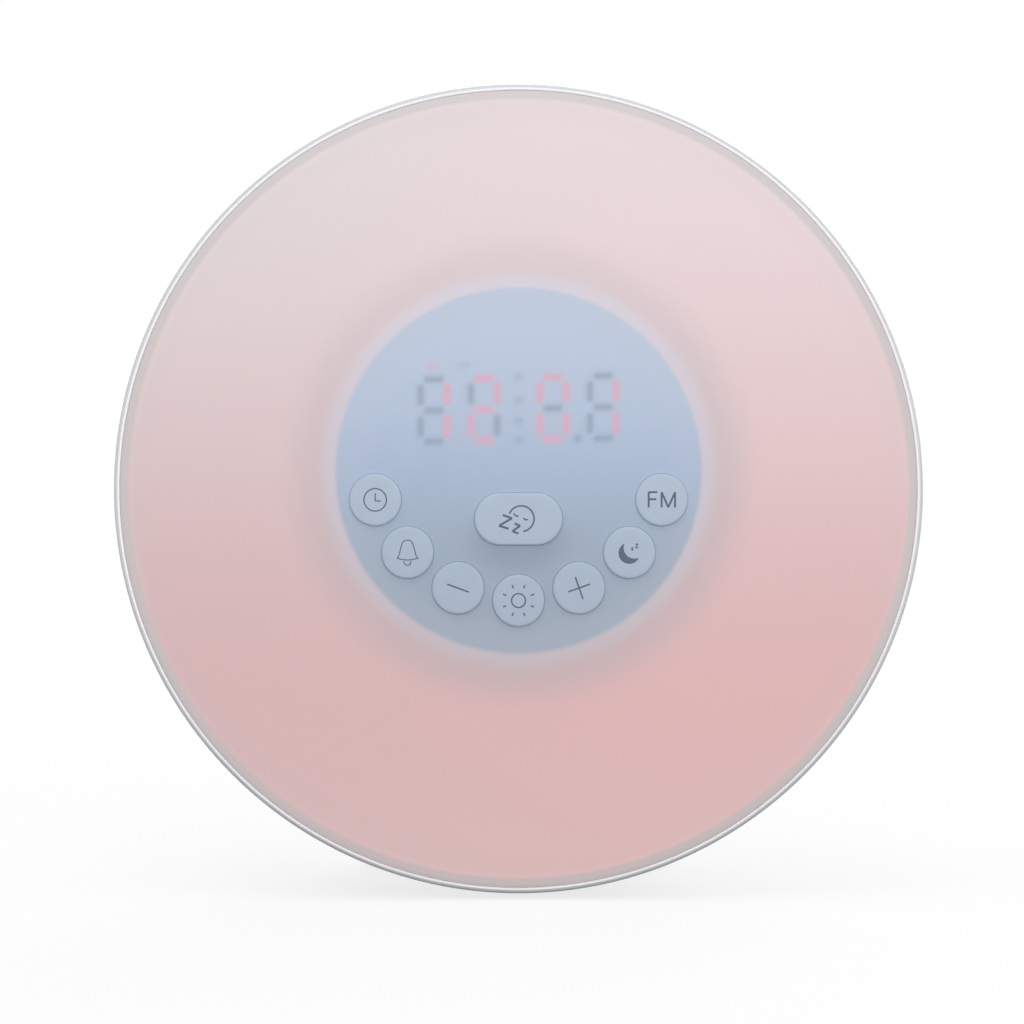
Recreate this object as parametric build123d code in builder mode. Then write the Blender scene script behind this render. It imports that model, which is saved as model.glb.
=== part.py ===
from build123d import *
import os
from math import cos, pi, radians, sin, sqrt

# Sunrise alarm clock: a round lamp that stands on a small foot, with a clock in its middle.
# +Z is up, the face looks along -Y, and +X is right as seen from the front. The origin is on
# the table, under the middle of the clock. Lengths are millimetres. A depth is measured back
# from the front edge of the rim, and x and up are measured from the rim's centre.

# ---- driving dimensions -------------------------------------------------------------------
rim_radius = 85.0
rim_width = 1.3
rim_bevel = 0.5
wall = 2.4
shell = 1.6
travel_gap = 0.3
slip = 0.2
inner_sides = 20  # of small round forms that stay inside

# the bowl: a straight band, a shoulder in two steps, and a cone to the flat back
band_depth = 26.0
back_depth = 58.0
back_radius = 53.0
shoulder_depths = (21.5, 25.7, 29.2)
shoulder_radii = (84.1, 81.8)
rebate_depth = 7.0
hollow_sides = 24
hollow_radii = (83.0, 52.0)

# the foot: narrow at its front, where the rim hides it, and leaning forwards as it rises
foot_front_depth = 10.0
foot_depth = 74.0
foot_front_half = 12.0
foot_back_half = 40.0
foot_rise = 45.0
foot_lean = 16.5
foot_corner = 9.0
foot_opening = 1.0
pad_rise = 1.2
base_plate_thickness = 2.0

# the lens and the dish behind it
lens_thickness = 2.0
lens_rise = 2.2
lens_bevel = 2.4
lug_size = (8.0, 0.5, 1.6)
lug_depth = 5.0
lug_count = 6
dish_sides = 12
dish_floor_depth = 18.0
dish_floor_radius = 73.0
dish_rim_depth = 5.5
dish_rim_radius = 81.2
dish_opening_radius = 26.0

# the pod in the middle of the face, which carries the clock
pod_up = 3.8
pod_radius = 38.2
pod_wall = 1.2
pod_front_depth = 0.8
board_thickness = 1.6
board_sides = 12
display_board_depth = 9.4
display_board_radius = 36.4
pod_post_height = 6.0
pod_screw_circle = 34.6

# seven round buttons on an arc, and an oblong one inside it
button_names = ["clock", "alarm", "minus", "light", "plus", "sleep", "radio"]
button_radius = 5.45
button_front = 3.0
button_back_depth = 3.3
arc_radius = 31.8
arc_up = 8.45
arc_step = 23.4
snooze_width = 18.45
snooze_up = -6.3
snooze_lug_width = 3.0
snooze_lug_pitch = 8.0
button_lug = 0.5
flange_sides = 8
stem_width = 3.2
plunger_depths = (5.1, 7.9)
plunger_width = 2.8
switch_width = 6.0
switch_hole = 3.6
switch_well = 0.8
switch_cover = 0.3
switch_depth = 5.9

# the display: four digits, a colon of four dots, and three small indicators
module_size = (48.0, 20.5)
module_up = 17.8
module_depth = 2.4
window_size = (44.8, 19.2)
window_up = 18.2
digit_xs = (-17.7, -7.2, 7.2, 17.7)
digit_up = 16.7
column_spacing = 5.5
row_spacing = 6.5
segment_width = 1.7
segment_gap = 0.35
segment_height = 0.3
colon_ups = (10.2, 14.2, 18.4, 23.4)
dot_size = 1.5
point_place = (12.4, 10.2)
indicator_places = [(-17.8, 26.2), (-11.5, 26.2)]
indicator_size = (3.0, 1.2)

# the light ring: a flat ring of board with its lights in a circle
led_count = 24
led_size = (3.5, 2.8, 0.8)
led_ring_radii = (45.0, 58.0)
led_radius = 51.0
ring_post_height = 3.0

# the speaker, which faces back
speaker_up = 24.0
speaker_width = 40.0
frame_depths = (52.8, 54.2)
basket_depth = 42.0
basket_radii = (12.5, 18.6)
basket_wall = 1.2
magnet_depth = 36.0
magnet_radius = 11.0
cone_radius = 16.0
cone_depths = (47.0, 53.4)
cap_radius = 5.5
paper = 0.6
grille_radius = 16.0
slot_height = 2.0
slot_pitch = 3.8
slot_rows = 4

# the power socket and the aerial outlet
jack_up = -64.0
jack_block = 18.0
jack_size = (9.0, 11.0)
jack_front = 48.0
jack_seat = 60.0
jack_nose = 1.6
jack_nose_radius = 3.9
jack_bore_radius = 3.1
jack_bore_depth = 11.0
jack_pin_radius = 1.0
jack_pin_length = 10.0
pocket_depth = 62.0
pocket_size = (15.0, 12.0)
gland_place = (38.0, -14.0)
gland_neck_radius = 2.4
gland_flange_radius = 4.0
gland_flange = 1.2
gland_bore_radius = 0.9

# the battery bay, for three small cells side by side, and its door
bay_up = -20.0
bay_size = (51.0, 33.0)
bay_floor_depth = 44.6
cell_count = 3
cell_pitch = 11.0
contact_width = 8.0
contact_depths = (46.0, 55.0)
contact_thickness = 0.4
leaf_bow = 3.5
door_size = (53.4, 36.6)
door_thickness = 1.8
door_corner = 2.0
tab_width = 8.0
tab_thickness = 1.2
tab_root = 1.6
tab_reach = 2.0
tab_sweep = 2.7
tab_xs = (-14.0, 14.0)
latch_size = (12.0, 8.0)
slit = 0.6
grip_size = (8.0, 0.8, 0.5)
grip_pitch = 1.8
grip_count = 3

# the main board, behind the dish
main_board_depth = 33.0
main_board_size = (58.0, 36.0)
board_post = (5.0, 8.0)
board_hole = 6.0
capacitor_places = [(-21.0, -31.0), (-13.0, -31.0)]
capacitor_radius = 3.0
capacitor_height = 9.0
connector_places = [(-22.0, -6.0), (22.0, -6.0)]
connector_size = (6.0, 4.0)
socket_size = (14.0, 4.5)
connector_height = 3.0
ribbon_width = 12.0
ribbon_thickness = 0.5
ribbon_bend = 2.5

# screws
screw_radius = 1.4
screw_length = 9.5
screw_head_radius = 2.5
screw_head = 2.2
small_screw_radius = 0.95
small_lengths = (4.0, 5.4, 7.0)
small_head_radius = 1.9
small_head = 1.2
thread_gap = 0.05
screw_sides = 6
tube_sides = 8
tube_radius = 5.0
tube_end = 28.5
seat_depth = 31.0
dish_post = 7.0
ring_post = 5.0
display_post = (5.0, 4.0)
pod_post = (6.0, 5.0)

# under the foot
base_post = 6.0
base_post_height = 5.0
base_seat = 0.8
pad_size = (12.0, 8.0)
pad_recess = 0.8
pad_places = [(-7.0, 25.0), (7.0, 25.0), (-25.0, 64.0), (25.0, 64.0)]
base_screw_depths = (15.0, 67.0)

# ---- worked-out values --------------------------------------------------------------------
rim_y = (button_front - foot_depth) / 2
axis_z = pad_rise + rim_radius
lens_radius = rim_radius - rim_width - slip
inner_back = back_depth - wall
pod_plate_back = pod_front_depth + pod_wall
display_board_back = display_board_depth + board_thickness
main_board_back = main_board_depth + board_thickness
dish_back = dish_floor_depth + shell
ring_board_front = dish_floor_depth - board_thickness
hole_radius = button_radius + travel_gap
door_inner = back_depth - door_thickness
door_foot = bay_up - door_size[1] / 2
clock_axis = Axis((0, rim_y, axis_z), (0, 1, 0))


def section_at(angle):
    """A section through the clock's axis, with x as the depth and y as the radius."""
    turn = radians(angle)
    return Plane(origin=clock_axis.position, x_dir=(0, 1, 0), z_dir=(cos(turn), 0, -sin(turn)))


section = section_at(0)
lug_planes = [section_at(360 / lug_count * i) for i in range(lug_count)]


def around(radius, angles, up=0.0):
    """Places (x, up) at a radius and at angles about a centre that is that far up."""
    return [(radius * cos(radians(a)), up + radius * sin(radians(a))) for a in angles]


# where the screws go
housing_screws = [(x, up) for x in (-50, 50) for up in (-42, 42)]
pod_screws = around(pod_screw_circle, (90, 210, 330), pod_up)
ring_screws = around(led_radius, (37.5, 157.5, 277.5))
display_screws = [(-30.5, 14.9), (30.5, 14.9), (0, -14.85)]
main_screws = [(-25, bay_up), (25, bay_up)]
base_screws = [(0, rim_y + depth) for depth in base_screw_depths]
pads = [(x, rim_y + depth) for x, depth in pad_places]

# the flat sockets of the ribbon cable, as (depth, up) of its two ends
ribbon_start = (display_board_back + connector_height, 0.0)
ribbon_end = (main_board_depth - connector_height, -8.0)

# what else stands on the main board: name, x, up, width, height, thickness
board_parts = [
    ("control_chip", -14.0, -14.0, 10.0, 10.0, 1.6),
    ("radio_chip", 14.0, -13.0, 7.0, 7.0, 1.4),
    ("clock_crystal", -2.0, -28.0, 8.0, 3.0, 2.5),
    ("amplifier_chip", 14.0, -28.0, 5.0, 4.0, 1.5),
]


def face_plane(depth, x=0.0, up=0.0):
    """A plane parallel to the face that looks forwards, with x to the right and y up."""
    return Plane(origin=(x, rim_y + depth, axis_z + up), x_dir=(1, 0, 0), z_dir=(0, -1, 0))


def planes_at(depth, places):
    """One face plane at each of the places, which are (x, up)."""
    return [face_plane(depth, x, up) for x, up in places]


def funnel(sides, wide, narrow, up=0.0):
    """A many-sided tapering solid between two ends, each (depth, radius), that far up."""
    length = abs(narrow[0] - wide[0])
    backwards = (narrow[0] - wide[0]) / length
    shrinks = (wide[1] - narrow[1]) * cos(pi / sides)
    with BuildPart() as block:
        with BuildSketch(face_plane(max(wide[0], narrow[0]), 0, up)):
            RegularPolygon(wide[1], sides)
        extrude(amount=length)
        for side in range(sides):
            turn = 2 * pi * (side + 0.5) / sides
            apothem = wide[1] * cos(pi / sides)
            flank = Plane(
                origin=(apothem * cos(turn), rim_y + wide[0], axis_z + up + apothem * sin(turn)),
                z_dir=(length * cos(turn), shrinks * backwards, length * sin(turn)),
            )
            split(bisect_by=flank, keep=Keep.BOTTOM)
    return block.part


def arc_place(step):
    """The centre of the round button that many steps from the bottom of the arc."""
    angle = radians(arc_step * step)
    return arc_radius * sin(angle), arc_up - arc_radius * cos(angle)


def save(piece, name):
    """Labels a finished piece and writes it."""
    piece.part.label = name
    export_step(piece.part, f"parts/{name}.step")


button_places = [arc_place(i - 3) for i in range(len(button_names))]
switch_places = button_places + [(0.0, snooze_up)]
os.makedirs("parts", exist_ok=True)


# ---- rear housing -------------------------------------------------------------------------
def foot_half(depth):
    """Half the foot's width at a depth."""
    along = (depth - foot_front_depth) / (foot_depth - foot_front_depth)
    return foot_front_half + along * (foot_back_half - foot_front_half)


def foot_block(inset, drop):
    """The foot as a solid. An inset makes its hollow, and a drop lets that run out below."""
    past_back = foot_depth + 2 * wall
    with BuildPart() as block:
        with BuildSketch(Plane.XY.offset(pad_rise - drop)):
            with BuildLine():
                Polyline(
                    (-foot_front_half, rim_y + foot_front_depth),
                    (foot_front_half, rim_y + foot_front_depth),
                    (foot_half(past_back), rim_y + past_back),
                    (-foot_half(past_back), rim_y + past_back),
                    close=True,
                )
            make_face()
            if inset:
                offset(amount=-inset, kind=Kind.INTERSECTION, mode=Mode.REPLACE)
        extrude(amount=foot_rise + drop)
        back_wall = Plane(
            origin=(0, rim_y + foot_depth, pad_rise),
            x_dir=(1, 0, 0),
            z_dir=(0, foot_rise, foot_lean),
        )
        split(bisect_by=back_wall.offset(-inset), keep=Keep.BOTTOM)
        leaning = block.faces().filter_by(lambda face: face.normal_at().Y > 0.5)
        corners = leaning.edges().filter_by(lambda edge: abs(edge.center().X) > foot_front_half)
        fillet(corners, foot_corner - inset)
    return block.part


# what is empty inside the bowl and its foot, less what is moulded to their walls
with BuildPart() as hollow:
    with BuildSketch(face_plane(band_depth)):
        RegularPolygon(hollow_radii[0], hollow_sides)
    extrude(amount=band_depth - rebate_depth)
    add(funnel(hollow_sides, (band_depth, hollow_radii[0]), (inner_back, hollow_radii[1])))
    add(foot_block(wall, foot_opening))
    # the battery tray
    with BuildSketch(face_plane(inner_back, 0, bay_up)):
        Rectangle(bay_size[0] + 2 * wall, bay_size[1] + 2 * wall)
    extrude(amount=inner_back - bay_floor_depth + shell, mode=Mode.SUBTRACT)
    # two posts on the tray for the main board
    with BuildSketch(*planes_at(bay_floor_depth, main_screws)):
        Rectangle(*board_post)
    extrude(amount=bay_floor_depth - main_board_back, mode=Mode.SUBTRACT)
    # a frame that the speaker is glued to
    with BuildSketch(face_plane(inner_back, 0, speaker_up)):
        Rectangle(speaker_width, speaker_width)
        RegularPolygon(basket_radii[1], inner_sides, mode=Mode.SUBTRACT)
    extrude(amount=inner_back - frame_depths[1], mode=Mode.SUBTRACT)
    # tubes for the long screws that hold the dish
    with BuildSketch(*planes_at(back_depth, housing_screws)):
        RegularPolygon(tube_radius, tube_sides)
    extrude(amount=back_depth - tube_end, mode=Mode.SUBTRACT)
    # a block for the power socket
    with BuildSketch(face_plane(foot_depth, 0, jack_up)):
        Rectangle(jack_block, jack_block)
    extrude(amount=foot_depth - jack_front, mode=Mode.SUBTRACT)
    # two posts for the base plate, against the foot's front and back walls
    with BuildSketch(Plane.XY.offset(pad_rise + base_plate_thickness)):
        with Locations(*base_screws):
            Rectangle(base_post, base_post)
    extrude(amount=base_post_height, mode=Mode.SUBTRACT)

with BuildPart() as rear_housing:
    with BuildSketch(section):
        with BuildLine():
            Polyline(
                (0, 0),
                (0, rim_radius - rim_bevel),
                (rim_bevel, rim_radius),
                (shoulder_depths[0], rim_radius),
                (shoulder_depths[1], shoulder_radii[0]),
                (shoulder_depths[2], shoulder_radii[1]),
                (back_depth, back_radius),
                (back_depth, 0),
                close=True,
            )
        make_face()
    revolve(axis=clock_axis)
    add(foot_block(0, 0))
    add(hollow.part, mode=Mode.SUBTRACT)
    # the rebate that the lens sits in, with a pocket for each of its lugs
    with BuildSketch(face_plane(0)):
        Circle(rim_radius - rim_width)
    extrude(amount=-rebate_depth, mode=Mode.SUBTRACT)
    with BuildSketch(*lug_planes):
        with Locations((lug_depth, lens_radius + lug_size[1] / 2)):
            Rectangle(lug_size[2] + 2 * slip, lug_size[1] + 2 * slip)
    extrude(amount=lug_size[0] / 2 + slip, both=True, mode=Mode.SUBTRACT)
    # the speaker's grille: slots as long as the round area allows
    with BuildSketch(face_plane(back_depth, 0, speaker_up)):
        for row in range(-slot_rows, slot_rows + 1):
            half_slot = sqrt(grille_radius**2 - (row * slot_pitch) ** 2)
            with Locations((0, row * slot_pitch)):
                Rectangle(2 * half_slot, slot_height)
    extrude(amount=wall, mode=Mode.SUBTRACT)
    # the battery bay, the door's recess, and slots for the door's two tabs
    with BuildSketch(face_plane(back_depth, 0, bay_up)):
        Rectangle(*bay_size)
    extrude(amount=back_depth - bay_floor_depth, mode=Mode.SUBTRACT)
    with BuildSketch(face_plane(back_depth, 0, bay_up)) as recess:
        Rectangle(door_size[0] + 2 * travel_gap, door_size[1] + 2 * travel_gap)
        fillet(recess.vertices(), door_corner + travel_gap)
    extrude(amount=door_thickness + travel_gap, mode=Mode.SUBTRACT)
    with BuildSketch(face_plane(door_inner + travel_gap, 0, door_foot)):
        for x in tab_xs:
            with Locations((x, (tab_root - tab_reach) / 2)):
                Rectangle(tab_width + 3 * travel_gap, tab_root + tab_reach + 2 * travel_gap)
    extrude(amount=tab_sweep, mode=Mode.SUBTRACT)
    # deep holes for the housing screws
    with BuildSketch(*planes_at(back_depth, housing_screws)):
        Circle(screw_head_radius + slip)
    extrude(amount=back_depth - seat_depth, mode=Mode.SUBTRACT)
    with BuildSketch(*planes_at(seat_depth, housing_screws)):
        RegularPolygon(screw_radius + slip, screw_sides)
    extrude(amount=seat_depth - tube_end, mode=Mode.SUBTRACT)
    # the power socket's cavity, and the flat-bottomed pocket that its mouth opens in
    with BuildSketch(face_plane(jack_seat, 0, jack_up)):
        Rectangle(jack_size[0] + slip, jack_size[1] + slip)
    extrude(amount=jack_seat - jack_front, mode=Mode.SUBTRACT)
    with BuildSketch(face_plane(foot_depth, 0, jack_up)):
        Rectangle(*pocket_size)
    extrude(amount=foot_depth - pocket_depth, mode=Mode.SUBTRACT)
    with BuildSketch(face_plane(pocket_depth, 0, jack_up)):
        Circle(jack_nose_radius + slip)
    extrude(amount=pocket_depth - jack_seat, mode=Mode.SUBTRACT)
    # the aerial outlet
    with BuildSketch(face_plane(back_depth, *gland_place)):
        RegularPolygon(gland_neck_radius, flange_sides)
    extrude(amount=wall, mode=Mode.SUBTRACT)
    # screw holes in the base plate's posts and in the main board's posts
    with BuildSketch(Plane.XY.offset(pad_rise + base_plate_thickness)):
        with Locations(*base_screws):
            RegularPolygon(small_screw_radius + thread_gap, screw_sides)
    extrude(amount=base_post_height - shell, mode=Mode.SUBTRACT)
    with BuildSketch(*planes_at(main_board_back + board_hole, main_screws)):
        RegularPolygon(small_screw_radius + thread_gap, screw_sides)
    extrude(amount=board_hole, mode=Mode.SUBTRACT)

save(rear_housing, "rear_housing")


# ---- lens and reflector -------------------------------------------------------------------
with BuildPart() as lens:
    with BuildSketch(section):
        with BuildLine():
            Polyline(
                (-lens_rise, 0),
                (-lens_rise, lens_radius - lens_bevel),
                (lens_bevel - lens_rise, lens_radius),
                (rebate_depth, lens_radius),
                (rebate_depth, lens_radius - lens_thickness),
                (lens_thickness - lens_rise, lens_radius - lens_thickness),
                (lens_thickness - lens_rise, 0),
                close=True,
            )
        make_face()
    revolve(axis=clock_axis)
    with BuildSketch(*lug_planes):
        with Locations((lug_depth, lens_radius)):
            Rectangle(lug_size[2], 2 * lug_size[1])
    extrude(amount=lug_size[0] / 2, both=True)
    # a hole for each button
    with BuildSketch(*planes_at(lens_thickness, button_places)):
        Circle(hole_radius)
    extrude(amount=lens_thickness + lens_rise, mode=Mode.SUBTRACT)
    with BuildSketch(face_plane(lens_thickness, 0, snooze_up)):
        SlotOverall(snooze_width + 2 * travel_gap, 2 * hole_radius)
    extrude(amount=lens_thickness + lens_rise, mode=Mode.SUBTRACT)

save(lens, "diffuser_lens")

# A twelve-sided white dish. Its floor carries the light ring in front and the pod in its middle.
with BuildPart() as reflector:
    add(funnel(dish_sides, (dish_rim_depth, dish_rim_radius), (dish_back, dish_floor_radius)))
    add(
        funnel(
            dish_sides,
            (dish_rim_depth, dish_rim_radius - shell),
            (dish_floor_depth, dish_floor_radius - shell),
        ),
        mode=Mode.SUBTRACT,
    )
    # posts behind it for the housing's and the light ring's screws
    with BuildSketch(*planes_at(dish_back, housing_screws)):
        Rectangle(dish_post, dish_post)
    extrude(amount=-(tube_end - slip - dish_back))
    with BuildSketch(*planes_at(dish_back, ring_screws)):
        Rectangle(ring_post, ring_post)
    extrude(amount=-ring_post_height)
    with BuildSketch(*planes_at(tube_end, housing_screws)):
        RegularPolygon(screw_radius + thread_gap, screw_sides)
    extrude(amount=tube_end - dish_back - slip, mode=Mode.SUBTRACT)
    with BuildSketch(*planes_at(dish_back + ring_post_height, ring_screws)):
        RegularPolygon(small_screw_radius + thread_gap, screw_sides)
    with BuildSketch(*planes_at(dish_back + ring_post_height, pod_screws)):
        RegularPolygon(small_screw_radius + thread_gap, screw_sides)
    extrude(amount=ring_post_height + shell, mode=Mode.SUBTRACT)
    with BuildSketch(face_plane(dish_back, 0, pod_up)):
        RegularPolygon(dish_opening_radius, dish_sides)
    extrude(amount=shell, mode=Mode.SUBTRACT)

save(reflector, "reflector")


# ---- light ring ---------------------------------------------------------------------------
with BuildPart() as led_ring_board:
    with BuildSketch(face_plane(dish_floor_depth)):
        RegularPolygon(led_ring_radii[1], dish_sides)
        RegularPolygon(led_ring_radii[0], dish_sides, mode=Mode.SUBTRACT)
    extrude(amount=board_thickness)
    with BuildSketch(*planes_at(dish_floor_depth, ring_screws)):
        RegularPolygon(small_screw_radius + thread_gap, screw_sides)
    extrude(amount=board_thickness, mode=Mode.SUBTRACT)

save(led_ring_board, "led_ring_board")

with BuildPart() as leds:
    with BuildSketch(face_plane(ring_board_front)):
        with PolarLocations(led_radius, led_count):
            Rectangle(led_size[0], led_size[1])
    extrude(amount=led_size[2])

save(leds, "leds")


# ---- control pod --------------------------------------------------------------------------
# A cup that opens to the back. Its front plate has the display's window and the button holes.
with BuildPart() as pod_shell:
    with BuildSketch(face_plane(dish_floor_depth, 0, pod_up)):
        Circle(pod_radius)
    extrude(amount=dish_floor_depth - pod_front_depth)
    with BuildSketch(face_plane(dish_floor_depth, 0, pod_up)):
        RegularPolygon(pod_radius - pod_wall, hollow_sides)
    extrude(amount=dish_floor_depth - pod_plate_back, mode=Mode.SUBTRACT)
    # posts for the display board in front, and for the pod's own screws at the back
    with BuildSketch(*planes_at(display_board_depth, display_screws)):
        Rectangle(*display_post)
    extrude(amount=display_board_depth - pod_plate_back)
    with BuildSketch(face_plane(dish_floor_depth, 0, pod_up)):
        with PolarLocations(pod_screw_circle, len(pod_screws), start_angle=90):
            Rectangle(*pod_post)
        Circle(pod_radius - pod_wall / 2, mode=Mode.INTERSECT)
    extrude(amount=pod_post_height)
    with BuildSketch(*planes_at(display_board_depth, display_screws)):
        RegularPolygon(small_screw_radius + thread_gap, screw_sides)
    extrude(amount=display_board_depth - pod_plate_back, mode=Mode.SUBTRACT)
    with BuildSketch(*planes_at(dish_floor_depth, pod_screws)):
        RegularPolygon(small_screw_radius + thread_gap, screw_sides)
    extrude(amount=pod_post_height - shell, mode=Mode.SUBTRACT)
    # the openings in the front plate
    with BuildSketch(face_plane(pod_plate_back, 0, window_up)):
        Rectangle(*window_size)
    with BuildSketch(*planes_at(pod_plate_back, button_places)):
        RegularPolygon(hole_radius, inner_sides, major_radius=False)
    with BuildSketch(face_plane(pod_plate_back, 0, snooze_up)):
        SlotOverall(snooze_width + 2 * travel_gap, 2 * hole_radius)
    extrude(amount=pod_wall, mode=Mode.SUBTRACT)

save(pod_shell, "pod_shell")

with BuildPart() as display_board:
    with BuildSketch(face_plane(display_board_back, 0, pod_up)):
        RegularPolygon(display_board_radius, board_sides)
    extrude(amount=board_thickness)
    with BuildSketch(*planes_at(display_board_back, display_screws)):
        RegularPolygon(small_screw_radius + thread_gap, screw_sides)
    extrude(amount=board_thickness, mode=Mode.SUBTRACT)

save(display_board, "display_board")

with BuildPart() as display_module:
    with BuildSketch(face_plane(display_board_depth, 0, module_up)):
        Rectangle(*module_size)
    extrude(amount=display_board_depth - module_depth)

save(display_module, "display_module")


def segment(half_length, angle):
    """One display segment: a bar with pointed ends, added at the current location."""
    half = segment_width / 2
    shoulder = half_length - half
    Polygon(
        (-half_length, 0),
        (-shoulder, half),
        (shoulder, half),
        (half_length, 0),
        (shoulder, -half),
        (-shoulder, -half),
        rotation=angle,
    )


with BuildPart() as display_segments:
    with BuildSketch(face_plane(module_depth)):
        for x in digit_xs:
            for row in (-1, 0, 1):
                with Locations((x, digit_up + row * row_spacing)):
                    segment(column_spacing / 2 - segment_gap, 0)
            for column in (-0.5, 0.5):
                for row in (-0.5, 0.5):
                    place = (x + column * column_spacing, digit_up + row * row_spacing)
                    with Locations(place):
                        segment(row_spacing / 2 - segment_gap, 90)
        with Locations(*[(0, up) for up in colon_ups]):
            Rectangle(dot_size, dot_size)
        with Locations(point_place):
            Rectangle(dot_size, dot_size)
        with Locations(*indicator_places):
            Rectangle(*indicator_size)
    extrude(amount=segment_height)

save(display_segments, "display_segments")


# ---- buttons and their switches -----------------------------------------------------------
with BuildPart() as switch_bases:
    with BuildSketch(*planes_at(display_board_depth, switch_places)):
        Rectangle(switch_width, switch_width)
    extrude(amount=display_board_depth - switch_depth - switch_cover)
    with BuildSketch(*planes_at(plunger_depths[1] + switch_well, switch_places)):
        Rectangle(switch_hole, switch_hole)
    extrude(amount=switch_width, mode=Mode.SUBTRACT)

save(switch_bases, "switch_bases")

with BuildPart() as switch_covers:
    with BuildSketch(*planes_at(switch_depth + switch_cover, switch_places)):
        Rectangle(switch_width, switch_width)
        Rectangle(switch_hole, switch_hole, mode=Mode.SUBTRACT)
    extrude(amount=switch_cover)

save(switch_covers, "switch_covers")

for name, place in zip(button_names, button_places):
    with BuildPart() as button:
        with BuildSketch(face_plane(button_back_depth, *place)):
            Circle(button_radius)
        extrude(amount=button_back_depth + button_front)
        # the corners of an eight-sided flange, behind the front plate, keep it in
        with BuildSketch(face_plane(button_back_depth, *place)):
            RegularPolygon(button_radius + button_lug, flange_sides)
        extrude(amount=button_back_depth - pod_plate_back - travel_gap)
        with BuildSketch(face_plane(plunger_depths[0], *place)):
            Rectangle(stem_width, stem_width)
        extrude(amount=plunger_depths[0] - button_back_depth)
    save(button, f"{name}_button")

with BuildPart() as snooze_button:
    with BuildSketch(face_plane(button_back_depth, 0, snooze_up)):
        SlotOverall(snooze_width, 2 * button_radius)
    extrude(amount=button_back_depth + button_front)
    with BuildSketch(face_plane(button_back_depth, 0, snooze_up)):
        with GridLocations(snooze_lug_pitch, 2 * button_radius, 2, 2):
            Rectangle(snooze_lug_width, 2 * button_lug + travel_gap)
    extrude(amount=button_back_depth - pod_plate_back - travel_gap)
    with BuildSketch(face_plane(plunger_depths[0], 0, snooze_up)):
        Rectangle(stem_width, stem_width)
    extrude(amount=plunger_depths[0] - button_back_depth)

save(snooze_button, "snooze_button")

for name, place in zip(button_names + ["snooze"], switch_places):
    with BuildPart() as plunger:
        with BuildSketch(face_plane(plunger_depths[1], *place)):
            Rectangle(plunger_width, plunger_width)
        extrude(amount=plunger_depths[1] - plunger_depths[0])
    save(plunger, f"{name}_plunger")


# ---- main board and its cable -------------------------------------------------------------
with BuildPart() as main_board:
    with BuildSketch(face_plane(main_board_back, 0, bay_up)):
        Rectangle(*main_board_size)
    extrude(amount=board_thickness)
    with BuildSketch(*planes_at(main_board_back, main_screws)):
        RegularPolygon(small_screw_radius + thread_gap, screw_sides)
    extrude(amount=board_thickness, mode=Mode.SUBTRACT)

save(main_board, "main_board")

for name, x, up, width, height, thickness in board_parts:
    with BuildPart() as component:
        with BuildSketch(face_plane(main_board_depth, x, up)):
            Rectangle(width, height)
        extrude(amount=thickness)
    save(component, name)

with BuildPart() as capacitors:
    with BuildSketch(*planes_at(main_board_depth, capacitor_places)):
        RegularPolygon(capacitor_radius, inner_sides)
    extrude(amount=capacitor_height)

save(capacitors, "capacitors")

# the ribbon's socket on either board, and two smaller ones for the speaker and the power
with BuildPart() as board_connectors:
    with BuildSketch(face_plane(ribbon_start[0], 0, ribbon_start[1])):
        Rectangle(*socket_size)
    with BuildSketch(face_plane(main_board_depth, 0, ribbon_end[1])):
        Rectangle(*socket_size)
    with BuildSketch(*planes_at(main_board_depth, connector_places)):
        Rectangle(*connector_size)
    extrude(amount=connector_height)

save(board_connectors, "board_connectors")

with BuildPart() as ribbon_cable:
    with BuildSketch(section):
        with BuildLine():
            slack = ribbon_start[0] + 2 * ribbon_bend
            FilletPolyline(
                ribbon_start,
                (slack, ribbon_start[1]),
                (ribbon_end[0] - 2 * ribbon_bend, ribbon_end[1]),
                ribbon_end,
                radius=ribbon_bend,
            )
        trace(line_width=ribbon_thickness)
    extrude(amount=ribbon_width / 2, both=True)

save(ribbon_cable, "ribbon_cable")


# ---- speaker ------------------------------------------------------------------------------
# A square frame with an eight-sided basket. The magnet is on its front end, towards the face.
with BuildPart() as speaker_basket:
    with BuildSketch(face_plane(frame_depths[1], 0, speaker_up)):
        Rectangle(speaker_width, speaker_width)
    extrude(amount=frame_depths[1] - frame_depths[0])
    add(
        funnel(
            inner_sides,
            (frame_depths[0], basket_radii[1]),
            (basket_depth, basket_radii[0]),
            speaker_up,
        )
    )
    add(
        funnel(
            inner_sides,
            (frame_depths[1], basket_radii[1] - basket_wall),
            (basket_depth + basket_wall, basket_radii[0] - basket_wall),
            speaker_up,
        ),
        mode=Mode.SUBTRACT,
    )

save(speaker_basket, "speaker_basket")

with BuildPart() as speaker_magnet:
    with BuildSketch(face_plane(basket_depth, 0, speaker_up)):
        RegularPolygon(magnet_radius, inner_sides)
    extrude(amount=basket_depth - magnet_depth)

save(speaker_magnet, "speaker_magnet")

# a thin paper cone with a flat cap in its middle
with BuildPart() as speaker_cone:
    add(
        funnel(
            inner_sides,
            (cone_depths[1], cone_radius),
            (cone_depths[0] - paper, cap_radius),
            speaker_up,
        )
    )
    add(
        funnel(
            inner_sides,
            (cone_depths[1], cone_radius - paper),
            (cone_depths[0], cap_radius - paper),
            speaker_up,
        ),
        mode=Mode.SUBTRACT,
    )

save(speaker_cone, "speaker_cone")


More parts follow.
